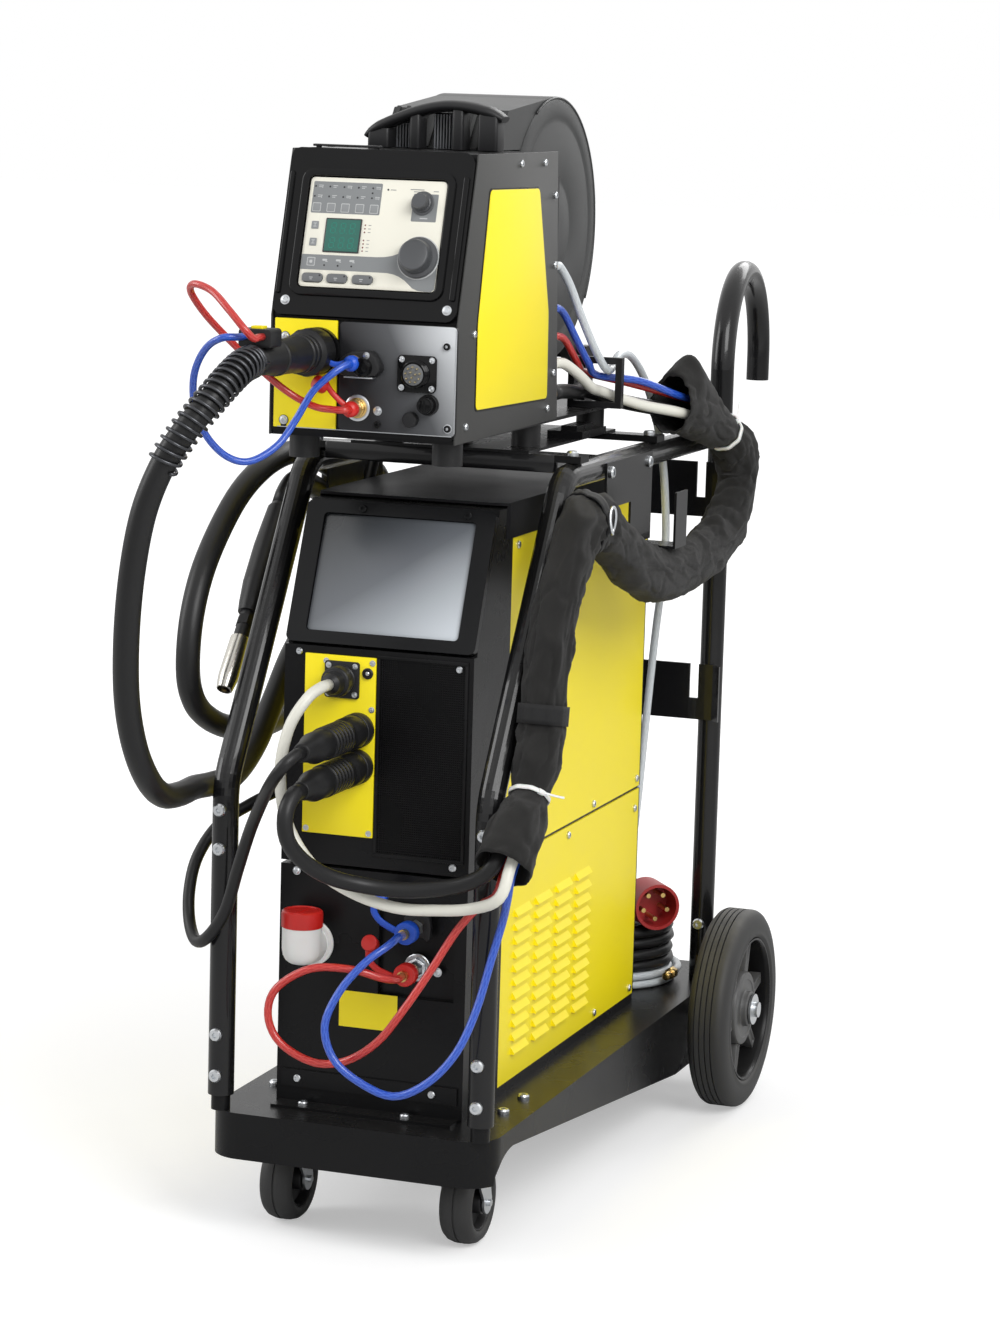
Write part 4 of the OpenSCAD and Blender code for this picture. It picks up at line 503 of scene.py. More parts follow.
deck_z, lay_gap = 150, 0.3
gas_z = deck_z + lay_gap + 5
gas_points = [
    (88, 305, 1105), (88, 326, 1105), (94, 350, 1082), (104, 372, 1040), (114, 398, 1000), (120, 430, 976),
    (118, 475, 992), (121, 520, 985), (129, 562, 945), (135, 600, 878), (132, 640, 800), (124, 672, 720),
    (114, 675, 620), (108, 665, 500), (104, 655, 400), (98, 650, 320), (92, 648, 250), (85, 650, 205),
    (74, 656, 172), (60, 660, gas_z), (48, 660, gas_z),
]
gas_turns = coil((38, 755, gas_z), 95, -90, 4.75, 2, 12, 11, 24)
gas_path = route(gas_points, 5) + gas_turns + [gas_turns[-1] + Vector((0, -10, 0))]
gas_hose = swept("gas_hose_wall", gas_path, 5, 14, gas_wall, "hose_clear", node="gas_hose gas_coil")


def outward():
    """Turns every face of the part in edit mode outwards, and leaves edit mode."""
    bpy.ops.mesh.select_all(action="SELECT")
    bpy.ops.mesh.normals_make_consistent(inside=False)
    bpy.ops.object.mode_set(mode="OBJECT")


def turned(name, profile, sides=32):
    """A round part on the Z axis, drawn out ring by ring: (radius, height) steps in millimetres."""
    radius, height = profile[0]
    bpy.ops.mesh.primitive_circle_add(vertices=sides, radius=radius / 1000, fill_type="NGON", location=(0, 0, 0))
    part = bpy.context.object
    part.name = name
    bpy.ops.object.mode_set(mode="EDIT")
    bpy.ops.mesh.select_all(action="SELECT")
    bpy.ops.transform.translate(value=(0, 0, height / 1000))
    for next_radius, next_height in profile[1:]:
        bpy.ops.mesh.extrude_region_move(TRANSFORM_OT_translate={"value": (0, 0, (next_height - height) / 1000)})
        bpy.ops.transform.resize(value=(next_radius / radius, next_radius / radius, 1))
        radius, height = next_radius, next_height
    outward()
    return part


def set_down(part, place, material, slot, edge=0.0, body="cart", smooth=35, node=None):
    """Rounds a part's edges, puts it at a place's origin with its Z axis on the place's axis, and seats it."""
    bpy.ops.object.select_all(action="DESELECT")
    part.select_set(True)
    bpy.context.view_layer.objects.active = part
    if edge:
        bevel = part.modifiers.new("edges", "BEVEL")
        bevel.width = edge / 1000
        bevel.segments = 2
        bevel.angle_limit = math.radians(40)
        bpy.ops.object.modifier_apply(modifier="edges")
    origin, axis = place[0], Vector(place[1]).normalized()
    aim = Matrix.Identity(4) if axis.z > 0.9999 else axis.to_track_quat("Z", "Y").to_matrix().to_4x4()
    part.data.transform(Matrix.Translation(at(*origin)) @ aim @ part.matrix_basis)
    part.matrix_basis = Matrix.Identity(4)
    bpy.ops.object.shade_smooth_by_angle(angle=math.radians(smooth))
    seat(part, material, body, node)
    part.select_set(False)
    return part


gas_fitting = turned("gas_fitting", [(8, 0), (8, 14), (5.6, 14.5), (5.6, 17), (6, 18), (6, 30), (5, 32)], 6)
set_down(gas_fitting, (gas_path[-1], (0, -1, 0)), brass, "brass", 0.6)

mains_z = deck_z + 2 * lay_gap + 21 + 7
mains_rise = 15
plug_way = math.radians(-52)
plug_at = Vector((55, 784, mains_z + 3 * mains_rise + 38))
mains_in = [
    (-50, 676, 470), (-50, 694, 470), (-52, 716, 462), (-55, 733, 438), (-58, 737, 398), (-62, 722, 335),
    (-62, 698, 275), (-60, 686, 238), (-56, 690, 210), (-52, 706, 188), (-50, 720, mains_z + 2),
    (-50, 730, mains_z), (-50, 741, mains_z),
]
mains_out = [
    (-50, 769, mains_z + 3 * mains_rise), (-50, 776, mains_z + 3 * mains_rise), (-44, 794, 233), (-30, 810, 243),
    (-8, 819, 252), (18, 817, 258), (36, 807, plug_at.z - 1),
    (plug_at.x - 14 * math.cos(plug_way), plug_at.y - 14 * math.sin(plug_way), plug_at.z), tuple(plug_at),
]
mains_path = route(mains_in, 5) + coil((38, 755, mains_z), 88, 180, 8, 4, 15.5, mains_rise, 24) + route(mains_out, 5)
mains_cable = swept("mains_cable", mains_path, 7, 14, cable_rubber, "cord_black", node="mains_lead mains_coil")


def ahead(x, y, z):
    return (x, y, z), (0, -1, 0)


# Weld cable plugs: rubber boots over brass pins, with a thick grip at the socket, ribs for the
# fingers, and a neck that tapers onto the cable. They turn and lock in the sockets.
plug_profile = [(17, 0), (19.5, 2), (19.5, 24), (17.5, 27), (17.5, 34)]
for i in range(6):
    plug_profile += [(18.8, 36 + i * 9), (18.8, 40 + i * 9), (17.2, 42 + i * 9)]
plug_profile += [(17.6, 96), (17.6, 116), (16, 120), (13, 134), (10.6, 148), (10.0, 150)]
for name, height in (("weld_plug_upper", 592), ("weld_plug_lower", 550)):
    set_down(turned(name, plug_profile, 36), ahead(-22, -19, height), cable_rubber, "cord_black", 0.5)

# Mains strain relief: the ribbed rubber sleeve that tapers from the gland onto the mains cable.
relief_profile = [(12, 0)]
for i in range(4):
    relief_profile += [(12 - i, 1 + i * 6), (12 - i, 4 + i * 6), (10.4 - i, 4.6 + i * 6), (10.4 - i, 6.4 + i * 6)]
relief = turned("mains_strain_relief", relief_profile + [(8, 25)], 28)
set_down(relief, ((-50, 651, 470), (0, 1, 0)), cable_rubber, "cord_black")

# ---- textile sleeve
# Textile sleeve: a strip of black canvas sewn into a tube with a felled seam along it. Its mouths
# are hemmed; it is flattened where it lies, pleats inside its bends and creases outside them.


def even(path, gap):
    """The same path with its points a set distance apart."""
    spots, due, run = [path[0]], gap, 0.0
    for a, b in zip(path, path[1:]):
        span = (b - a).length
        while run + span >= due:
            spots.append(a.lerp(b, (due - run) / span))
            due += gap
        run += span
    return spots + [path[-1]]


canvas = finish("black_canvas", (0.013, 0.0125, 0.012), 0.88, 2600, 0.35, 0.28, 0.03, Sheen_Weight=0.08,
                Sheen_Roughness=0.5, Specular_IOR_Level=0.25)
tree = canvas.node_tree
stretch = node(tree, "Mapping", {"Scale": (0.16, 1.0, 1.0), "Vector": node(tree, "TexCoord")["UV"]})["Vector"]
threads = node(tree, "Group", {"Threads": 5200.0, "Vector": stretch}, node_tree=weave)["Height"]
shader = tree.nodes["Principled BSDF"]
cloth_relief = node(tree, "Bump", {"Strength": 0.55, "Distance": 0.0005, "Height": threads,
                                   "Normal": shader.inputs["Normal"].links[0].from_socket})
connect(tree, shader, {"Normal": cloth_relief["Normal"]})


def ring_near(point):
    return min(range(len(sleeve_path)), key=lambda i: (sleeve_path[i] - Vector(point)).length)


ring_gap = 4.5
sleeve_path = even(route(sleeve_points, 12), ring_gap)
sleeve_long = len(sleeve_path) - 1
cloth_dirs = headings(sleeve_path)
cloth_ns = normals(cloth_dirs, Vector((1, 0, 0)))
bend_way = []
for i in range(sleeve_long + 1):
    before, after = cloth_dirs[max(0, i - 4)], cloth_dirs[min(sleeve_long, i + 4)]
    bend_way.append((after - before) / (8 * ring_gap))
tie_rings = [ring_near(sleeve_points[k]) for k in (2, 18)]
corner_at = ring_gap * ring_near(sleeve_points[15])


def sleeve_radius(i, a):
    from_start, from_end = i * ring_gap, (sleeve_long - i) * ring_gap
    r = 25 + max(0, 7 * (1 - from_start / 95)) + max(0, 5 * (1 - from_end / 120))
    r *= 1 - 0.10 * math.cos(2 * a)
    n_way, s_way = cloth_ns[i], cloth_dirs[i].cross(cloth_ns[i])
    out = math.cos(a) * n_way + math.sin(a) * s_way
    bow, curved = bend_way[i], bend_way[i].length > 1e-5
    facing = out.dot(bow.normalized()) if curved else 0.0
    inner_side, outer_side = max(0.0, facing), max(0.0, -facing)
    tight = min(1.0, bow.length * 110)
    spot = Vector((from_start / 55, 1.4 * math.cos(a), 1.4 * math.sin(a)))
    slow = noise.noise(spot)
    crease = max(0.0, 1 - abs(noise.noise(spot * 1.15 + Vector((7, 3, 1)))) / 0.16)
    finer = max(0.0, 1 - abs(noise.noise(spot * 2.6 + Vector((1, 9, 4)))) / 0.12)
    r += 3.2 * slow - 2.6 * crease ** 1.5 - 0.9 * finer ** 1.5 + 1.2
    pleat = 1 - abs(math.sin(from_start / 10.5 + 1.6 * slow + 0.7 * math.sin(2 * a)))
    r -= tight * inner_side * 4.2 * pleat ** 2
    r += tight * outer_side ** 2 * 5.0 * (1 - abs(math.sin(from_start / 46 + 0.55))) ** 1.2
    lying = 1 - abs(cloth_dirs[i].z)
    r += 7.5 * lying * max(0.0, -out.z) ** 1.5 * min(1.0, from_start / 260) * min(1.0, max(0.0, from_end - 170) / 160)
    ridge = max(0.0, 1 - abs(noise.noise(spot * 0.8 + Vector((3, 5, 8)))) / 0.30)
    r += (2.2 + 3.4 * tight) * ridge ** 1.3
    if curved:
        on_corner = max(0.0, 1 - math.acos(max(-1.0, min(1.0, -facing))))
        r += 17 * (max(0.0, 1 - abs(from_start - corner_at) / 70) * on_corner)
    point = max(0.0, 1 - abs(from_end - 34) / (40 if from_end < 34 else 78))
    r += 46 * point * max(0.0, 1 - math.acos(max(-1.0, min(1.0, out.z))) / 0.95) ** 1.15
    if 3 < min(from_start, from_end) < 22:
        r += 0.9
    if abs(math.sin((a - 2.2) / 2)) * 2 * r < 7:
        r += 0.8
    for ring in tie_rings:
        pinch = math.exp(-((i - ring) * ring_gap / 19) ** 2)
        r += (20.9 + 0.7 * math.sin(9 * a) - r) * pinch
    return max(r, 20.8)


def thickened(piece, name, thick, side):
    """Gives a sheet its thickness, inwards (-1) or outwards (1)."""
    bpy.ops.object.select_all(action="DESELECT")
    piece.select_set(True)
    bpy.context.view_layer.objects.active = piece
    wall = piece.modifiers.new(name, "SOLIDIFY")
    wall.thickness = thick / 1000
    wall.offset = side
    bpy.ops.object.modifier_apply(modifier=name)
    piece.select_set(False)
    return piece


sleeve = thickened(swept("hose_sleeve_cloth", sleeve_path, sleeve_radius, 72, canvas, "sleeve_fabric", ends=False,
                         node="hose_sleeve"), "wall", 1.2, -1)


def cloth_band(name, ring, width, thick, material, slot, lift=0.5):
    """A strap or tie round the sleeve, following the cloth under it."""
    half = max(1, round(width / (2 * ring_gap)))
    rings = [min(sleeve_long, max(0, ring + j)) for j in range(-half, half + 1)]
    squeeze = [sleeve_path[ring] + cloth_dirs[ring] * (k / (2 * half) - 0.5) * width for k in range(2 * half + 1)]

    def over(j, a):
        near = [sleeve_radius(i, a) for i in rings]
        return sum(near) / len(near) + lift + thick / 2

    return thickened(swept(name, squeeze, over, 56, material, slot, first=cloth_ns[ring], ends=False), "body",
                     thick, 1)


def oval(width, thick):
    """The radius round an ellipse, for swept()."""
    return lambda i, a: 0.5 / math.sqrt((math.cos(a) / width) ** 2 + (math.sin(a) / thick) ** 2)


webbing = finish("black_webbing", (0.0075, 0.0075, 0.0080), 0.66, 1900, 0.5, 0.25, 0.03, Sheen_Weight=0.04,
                 Specular_IOR_Level=0.25)
hook_ring = ring_near((200, 120, 830))
white, bright = (white_plastic, "white_plastic"), (zinc, "zinc")
lower_tie = cloth_band("sleeve_tie_lower", tie_rings[0], 5, 1.6, *white, 0.0)
upper_tie = cloth_band("sleeve_tie_upper", tie_rings[1], 6, 2.4, *white, 0.0)
strap_low = cloth_band("sleeve_strap_lower", ring_near((200, -12, 628)), 22, 1.8, webbing, "sleeve_fabric")
strap_high = cloth_band("sleeve_strap_upper", hook_ring, 18, 1.8, webbing, "sleeve_fabric")

# Zip-tie heads and the steel snap hook that hangs the sleeve's upper strap on the side rail.
for name, ring, a in (("tie_head_lower", tie_rings[0], 5.6), ("tie_head_upper", tie_rings[1], 0.6)):
    out = math.cos(a) * cloth_ns[ring] + math.sin(a) * cloth_dirs[ring].cross(cloth_ns[ring])
    spot = sleeve_path[ring] + out * (sleeve_radius(ring, a) + 0.6)
    turn_way = cloth_dirs[ring].cross(out)
    tail = [spot, spot + out * 1.6 + turn_way * 2, spot + out * 5 + turn_way * 9, spot + out * 10 + turn_way * 17,
            spot + out * 14 + turn_way * 22, spot + out * 14.4 + turn_way * 22.5]
    across = [spot + turn_way * shift for shift in (-3.5, -3, 3, 3.5)]
    swept(name, across, lambda i, a: 3.0 if i in (0, 3) else 3.5, 12, *white, first=out)
    swept(name + "_tail", route(tail, 4), oval(1.3, 3.0), 12, *white, first=out)
hook_at = sleeve_path[hook_ring] + Vector((sleeve_radius(hook_ring, 0) + 4.5, 0, 0))
loop = []
for k in range(41):
    a = 2 * math.pi * k / 40
    loop.append(hook_at + Vector((1.5 * math.sin(2 * a), 7 * math.sin(a), 15 * math.cos(a) + 3 * math.cos(2 * a))))
snap_hook = swept("snap_hook", loop, 1.9, 12, *bright, first=Vector((1, 0, 0)), ends=False)

# ---- feeder front
# Control panel: a printed cream membrane on a rigid plate, set in a glossy moulded bezel with a
# raised rim. Keys are domes under the membrane, lamps shine through it, and two knobs pass it.


def round_upright(part, corner, steps=5):
    """Rounds the upright edges of a plate."""
    bpy.ops.object.mode_set(mode="EDIT")
    bpy.ops.mesh.select_mode(type="EDGE")
    bpy.ops.mesh.select_all(action="DESELECT")
    build = bmesh.from_edit_mesh(part.data)
    for edge in build.edges:
        edge.select = abs(edge.verts[0].co.z - edge.verts[1].co.z) > 1e-7
    bmesh.update_edit_mesh(part.data)
    bpy.ops.mesh.bevel(offset=corner / 1000, segments=steps, affect="EDGES")
    bpy.ops.object.mode_set(mode="OBJECT")


def slab(name, x, y, w, h, low, high, corner=0.0, steps=5):
    """A plate in its own frame: a cube w wide and h high, from low to high, with rounded corners."""
    bpy.ops.mesh.primitive_cube_add(size=1, location=(x / 1000, y / 1000, (low + high) / 2000),
                                    scale=(w / 1000, h / 1000, (high - low) / 1000))
    part = bpy.context.object
    part.name = name
    bpy.ops.object.transform_apply(location=True, rotation=False, scale=True)
    if corner:
        round_upright(part, corner, steps)
    return part


def cut_out(name, outline, low, high, corner=0.0):
    """A plate cut to an outline: a filled circle whose corners are moved there, then thickened."""
    bpy.ops.mesh.primitive_circle_add(vertices=len(outline), radius=0.01, fill_type="NGON", location=(0, 0, 0))
    part = bpy.context.object
    part.name = name
    for vertex, (x, y) in zip(part.data.vertices, outline):
        vertex.co = (x / 1000, y / 1000, low / 1000)
    bpy.ops.object.mode_set(mode="EDIT")
    bpy.ops.mesh.select_all(action="SELECT")
    bpy.ops.mesh.extrude_region_move(TRANSFORM_OT_translate={"value": (0, 0, (high - low) / 1000)})
    outward()
    if corner:
        round_upright(part, corner)
    return part


def joined(name, parts):
    bpy.ops.object.select_all(action="DESELECT")
    for part in parts:
        part.select_set(True)
    bpy.context.view_layer.objects.active = parts[0]
    if len(parts) > 1:
        bpy.ops.object.join()
    parts[0].name = name
    return parts[0]


def carve(part, tools):
    """Cuts the tools out of the part and removes them."""
    for tool in tools:
        bpy.ops.object.select_all(action="DESELECT")
        bpy.context.view_layer.objects.active = part
        part.select_set(True)
        cutter = part.modifiers.new("cut", "BOOLEAN")
        cutter.operation = "DIFFERENCE"
        cutter.solver = "EXACT"
        cutter.object = tool
        bpy.ops.object.modifier_apply(modifier="cut")
        bpy.data.objects.remove(tool, do_unlink=True)
    return part


def nudge(part, x, y, z=0.0):
    """Moves a part in its own frame."""
    part.data.transform(Matrix.Translation((x / 1000, y / 1000, z / 1000)))
    return part


lean = math.atan2(181, 52)
slope = (0, -69, 1059), (0, -math.sin(lean), math.cos(lean))


def on_slope(part, material, slot, edge=0.0, **more):
    return set_down(part, slope, material, slot, edge, **more)


membrane = slab("control_membrane", 0, 93.5, 160, 123, 2.6, 6.0, 5)
carve(membrane, [slab("slot", x, 42, 24.8, 10.8, 1, 12, 5.2) for x in (-64, -35, -5)])
on_slope(membrane, cream, "cream_panel", 0.4, node="control_panel")

print_light = finish("printed_light", (0.50, 0.51, 0.51), 0.46, 1200, 0.03, 0.05)
key_face = finish("key_face", (0.24, 0.25, 0.255), 0.44, 1200, 0.05, 0.05)
lamp_dark = finish("lamp_dark", (0.03, 0.03, 0.032), 0.25, 900, 0.02, 0.1)
lamp_red = finish("lamp_red", (0.16, 0.02, 0.02), 0.22, 900, 0.02, 0.1)
band_edge = [(-79.6, 51), (-40, 51), (0, 51), (22, 51), (30, 49.8), (37, 47.4), (44, 43.5), (50, 38.6), (54, 35.4),
             (60, 33), (68, 32.3), (76, 32.3), (79.4, 35.5), (79.6, 50), (79.6, 64), (79.4, 76), (76.5, 81), (71, 84.6),
             (65, 86.2), (58, 86.2), (51, 84.6), (45, 81), (39, 76.6), (33, 73), (26, 70.2), (18, 68.6), (8, 68),
             (-40, 68), (-79.6, 68)]
printed = [slab("block", -35.5, 132.4, 81, 35.5, 5.9, 6.12, 1.5), cut_out("band", band_edge, 5.9, 6.12),
           slab("square", 57, 125, 29, 31, 5.9, 6.12, 1)]
on_slope(joined("panel_print", printed), print_grey, "key_grey")

columns = (-69.5, -52.5, -35.8, -18.8, -1.9)
ink = 6.1, 6.24
outlines = [slab("outline", u, 121.2, 10, 10, 6.0, 6.32, 1) for u in columns]
outlines += [slab("outline", -68, 60, 9.6, 9.6, 6.0, 6.32, 1)]
marks = []
for n, u in enumerate(columns):
    for v in (144.6, 133.4):
        marks += [slab("mark", u + 2.4, v + 1.2, 5.4, 0.8, *ink), slab("mark", u + 1.6, v - 0.6, 3.6, 0.7, *ink)]
        if n % 2 == 0:
            marks.append(slab("mark", u + 4.2, v - 0.2, 0.8, 3.2, *ink))
for u in (-52, -36, -20):
    marks += [slab("mark", u, 62.4, 5.6, 2.2, *ink, 0.8), slab("mark", u + 2.2, 60.6, 2.6, 0.8, *ink)]
marks += [slab("mark", -68, 60, 3.4, 3.4, 6.3, 6.62, 1.2), slab("mark", 57, 113.2, 9, 1.2, *ink, 0.4)]
on_slope(joined("key_outlines", outlines + marks), print_light, "key_grey")

domes = [slab("dome", u, 121.2, 8.4, 8.4, 6.1, 6.6, 0.8) for u in columns]
domes += [slab("dome", -68, 60, 8, 8, 6.1, 6.5, 0.8)]
domes += [slab("dome", -68.6, v, 8.4, 8.8, 6.0, 6.5, 1) for v in (101, 82)]
on_slope(joined("membrane_keys", domes), key_face, "key_grey", 0.2)

signs = [slab("sign", -68.6, v, 3.6, 0.8, 6.45, 6.62) for v in (103, 99.4, 84, 80.4)]
signs += [slab("sign", -68.6, v, 0.8, 3.4, 6.45, 6.62) for v in (101.2, 82.2)]
on_slope(joined("key_signs", signs), print_light, "key_grey")

legends = [(-4.2, v, 3.2, 0.7) for v in (103, 99, 95, 86, 82, 78, 74)]
legends += [(18.2, 143.6, 6.4, 0.8), (46, 145, 16, 0.9), (48, 142.6, 12, 0.8), (68, 143.6, 6, 0.8)]
legends = [slab("legend", *place, 6.0, 6.12) for place in legends]
on_slope(joined("panel_legends", legends), print_grey, "key_grey")


def dots(name, places, radius, high, material):
    profile = [(radius, 6.0), (radius, high - 0.15), (radius * 0.7, high)]
    parts = [nudge(turned("dot", profile, 14), *place) for place in places]
    on_slope(joined(name, parts), material, "key_grey")


dots("lamp_lenses", [(u - 4, v) for u in columns for v in (144.6, 133.4)] + [(-5.9, 139), (12, 143.6)]
     + [(u, 56.4) for u in (-52, -36, -20)], 1.05, 6.5, lamp_dark)
dots("lamp_row", [(-9.6, v) for v in (103, 99, 95, 86, 82, 78, 74)], 0.85, 6.4, lamp_red)

# Display: two rows of unlit segments behind a green filter, in a dark frame.
on_slope(slab("display_frame", -34.8, 90.2, 42.5, 38.5, 5.9, 6.9, 1.2), lamp_dark, "key_grey", 0.25)
filter_green = finish("filter_green", (0.006, 0.115, 0.085), 0.12, 500, 0.01, 0.18, Coat_Weight=0.5)
segment_green = finish("segment_green", (0.012, 0.19, 0.14), 0.2, 500, 0.01, 0.08)
on_slope(slab("display_filter", -34.8, 90.2, 39.5, 35.6, 6.5, 7.25, 0.8), filter_green, "key_grey", 0.2)
segments = [(0, dv, 4.2, 1.0) for dv in (5.6, 0, -5.6)]
segments += [(du, dv, 1.0, 4.2) for dv in (2.8, -2.8) for du in (-2.7, 2.7)]
glyph_lean, glass_top = 0.12, (7.2, 7.29)
digits = []
for row in (98.2, 81.8):
    for u in (-46, -35, -24):
        for du, dv, w, h in segments:
            digits.append(slab("segment", u + du + glyph_lean * dv, row + dv, w, h, *glass_top))
        digits.append(slab("segment", u + 4.6, row - 5.8, 1, 1, *glass_top))
on_slope(joined("display_segments", digits), segment_green, "key_grey")

# Oblong keys: rubber caps in their slots, each with a lamp at its upper right corner.
for n, u in enumerate((-64, -35, -5), 1):
    key = "soft_key_%d" % n
    cap = slab(key + "_cap", u, 42, 23.6, 9.8, 3.8, 8.0, 3.0)
    on_slope(cap, key_grey, "key_grey", 0.7, body=key, node=key)
    marks = [slab("mark", u - 1, v, w, h, 7.95, 8.08) for v, w, h in ((42, 4.2, 0.8), (40, 2.6, 0.7))]
    on_slope(joined(key + "_mark", marks), print_light, "key_grey", body=key)
    lens = turned(key + "_lamp", [(1.1, 7.9), (1.1, 8.15), (0.8, 8.25)], 14)
    on_slope(nudge(lens, u + 9, 44.4), lamp_dark, "key_grey", body=key)

# Knobs: moulded grips with fine flutes round them, pushed on their shafts.
knob_dark = finish("knob_dark", (0.062, 0.065, 0.070), 0.34, 1200, 0.06, 0.08, Coat_Weight=0.15)


def fluted(part, low, high, depth, least):
    """Cuts flutes round the turned part, between two heights and outside the least radius."""
    for vertex in part.data.vertices:
        if low < vertex.co.z * 1000 < high and vertex.co.xy.length * 1000 > least:
            if round(math.atan2(vertex.co.y, vertex.co.x) / (math.pi / 48)) % 2:
                shrink = 1 - depth / (vertex.co.xy.length * 1000)
                vertex.co.x *= shrink
                vertex.co.y *= shrink
    return part


def knob(kind, spot, profile, *flutes):
    grip = nudge(fluted(turned(kind + "_grip", profile, 96), *flutes), *spot)
    on_slope(grip, knob_dark, "black_plastic", body=kind, smooth=28, node=kind)


big_at, small_at = (57, 69), (54, 130)
knob("mode_knob", big_at, [(23, 6.4), (23, 9.6), (22.2, 10.8), (20, 11.4), (19.2, 11.6), (18.9, 12.4), (17.6, 22.6),
                           (16.9, 23.8), (15.6, 24.2), (14.6, 23.8), (0.5, 23.6)], 12, 23, 0.55, 16)
ring = turned("mode_knob_ring", [(24.2, 6.0), (24.2, 6.9), (23.6, 7.2), (21, 7.2)], 64)
on_slope(nudge(ring, *big_at), print_light, "key_grey")
knob("encoder_knob", small_at, [(10.6, 7.6), (10.6, 9.0), (10.2, 9.8), (9.6, 10.2), (8.7, 18.4), (8.1, 19.2),
                                (7.2, 19.4), (0.5, 19.2)], 10, 19, 0.4, 7.5)
collar = turned("encoder_knob_collar", [(13.4, 6.0), (13.4, 7.0), (12.4, 7.5), (11.2, 7.5)], 48)
on_slope(nudge(collar, *small_at), knob_dark, "black_plastic")

# Bezel rim: the raised lip round the membrane, side ridges, and two pan-head screws below it.
rim = slab("bezel_rim", 0, 93.5, 180, 143, 4.5, 8.6, 14, 8)
carve(rim, [slab("opening", 0, 93.5, 163, 126, 0, 12, 6.5)])
on_slope(rim, gloss_black, "gloss_black", 1.3)
for name, u, w in (("bezel_ridge_left", -102.6, 5), ("bezel_ridge_right", 101.6, 6)):
    on_slope(slab(name, u, 92, w, 138, 4, 8.4, 2.2), gloss_black, "gloss_black", 1.4)


def pan_screw(name, place, x, y, z, radius=4.2, proud=2.6):
    """A pan-head screw with a cross slot, on its washer."""
    washer = turned("washer", [(radius + 1.2, 0), (radius + 1.2, 0.6), (radius, 0.8)], 24)
    head = turned("head", [(radius, 0.6), (radius, 1.3), (radius * 0.86, proud - 0.5), (radius * 0.5, proud - 0.05),
                           (0.3, proud)], 24)
    cross = ((radius * 1.1, 1.1), (1.1, radius * 1.1))
    carve(head, [slab("slot", 0, 0, *bar, proud - 1.1, proud + 1) for bar in cross])
    set_down(nudge(joined(name, [head, washer]), x, y, z), place, *bright)


pan_screw("bezel_screw_left", slope, -93, 16, 5.0)
pan_screw("bezel_screw_right", slope, 97, 13, 5.0)

# Document flap: a thin dark strip hinged along the top front edge of the case.
upright = (0, 0, 0), (0, 0, 1)
black = moulded_black, "black_plastic"
flap = [slab("flap", -48, -8, 80, 9, 1242.6, 1245.2, 2)]
flap += [slab("hinge", x, -8, 5, 6, 1239.5, 1243) for x in (-82, -14)]
set_down(joined("top_flap", flap), upright, *black, 0.8)

# ---- feeder connector panel
# Torch coolant couplings: plated bodies with a knurled collar and a plastic sleeve for the hose.
# The blue one has a moulded latch behind it; the red one's dust cap hangs from a moulded strap.
front = ahead(0, 0, 0)
blue, red = (blue_plastic, "hose_blue"), (red_plastic, "red_plastic")
gloss = gloss_black, "black_plastic"


def on_front(part, material, slot, edge=0.0, **more):
    return set_down(part, front, material, slot, edge, **more)


def forward(name, place, profile, sides, material, slot, edge=0.0, **more):
    """A turned part that faces forward from its place."""
    set_down(turned(name, profile, sides), ahead(*place), material, slot, edge, **more)


def screws(name, spots, z, radius, proud):
    for n, spot in enumerate(spots, 1):
        pan_screw("%s_%d" % (name, n), front, *spot, z, radius, proud)


def strap(name, points, width, thick, material, slot):
    """A flat moulded strap along a path, wide across it and thin through it."""
    swept(name, route(points, 8), oval(width, thick), 16, material, slot, first=Vector((0, 0, 1)))


latch_edge = [(-24, 1004), (-23, 1012), (-17, 1019), (-6, 1024.5), (6, 1026), (16, 1025.5), (21, 1021), (27, 1010),
              (27.5, 1004), (22, 999), (12, 997), (-10, 997), (-19, 998.5)]
on_front(cut_out("coupling_latch", latch_edge, 72.0, 88.0), *black, 3.2)
forward("latch_boss", (8, -87.5, 1008), [(10.5, 0), (10.5, 5), (9.5, 6.5), (7, 6.8), (6.4, 6.0), (0.5, 5.6)], 40,
        *gloss)
on_front(slab("latch_foot", 2, 996.4, 34, 1.6, 74, 87, 0.6), *bright, 0.3)
pan_screw("latch_screw", front, 11.5, 1021, 87.6, 2.6, 1.8)
for name, height, look in (("blue", 1012, blue), ("red", 962, red)):
    coupling = -3.5, -72, height
    collar = turned("coupling_collar_" + name, [(11.2, 0), (11.2, 1.6), (9.6, 2.4), (9.6, 7), (8.6, 7.6), (8.6, 13),
                                                (7.6, 13.6), (7.6, 20), (6.4, 21), (6.0, 24.5)], 36)
    set_down(fluted(collar, 2.5, 6.9, 0.4, 9), ahead(*coupling), brass, "brass")
    forward("coupling_cap_" + name, coupling, [(7.6, 16), (8.6, 16.6), (8.8, 24), (8.0, 26), (5.4, 28), (4.7, 33)],
            28, *look)
forward("coupling_ring", coupling, [(14.5, 0), (14.5, 1.4), (13.6, 2.0), (11.5, 2.0), (11.0, 1.2)], 40, *bright)
strap("cap_strap_red", [(-10, -92, 966), (-10, -93, 966), (-17, -95, 972), (-25, -96, 980), (-31, -95, 987),
                        (-35, -93, 991), (-35.5, -92.5, 991.5)], 6.5, 2.2, *red)
dust_cap = turned("dust_cap_red", [(8.6, 0), (8.8, 2), (8.8, 11), (8.0, 12.4), (5, 12.8), (0.5, 12.8)], 30)
set_down(dust_cap, ((-36, -91, 985), (-0.5, -0.75, 0.4)), *red, 0.3)
strap("cap_strap_blue", [(-12, -92, 1012), (-12, -93, 1012), (-20, -95, 1010), (-28, -97, 1012), (-34, -97, 1017),
                         (-37, -96, 1022), (-37.5, -96, 1023)], 6.5, 2.2, *blue)

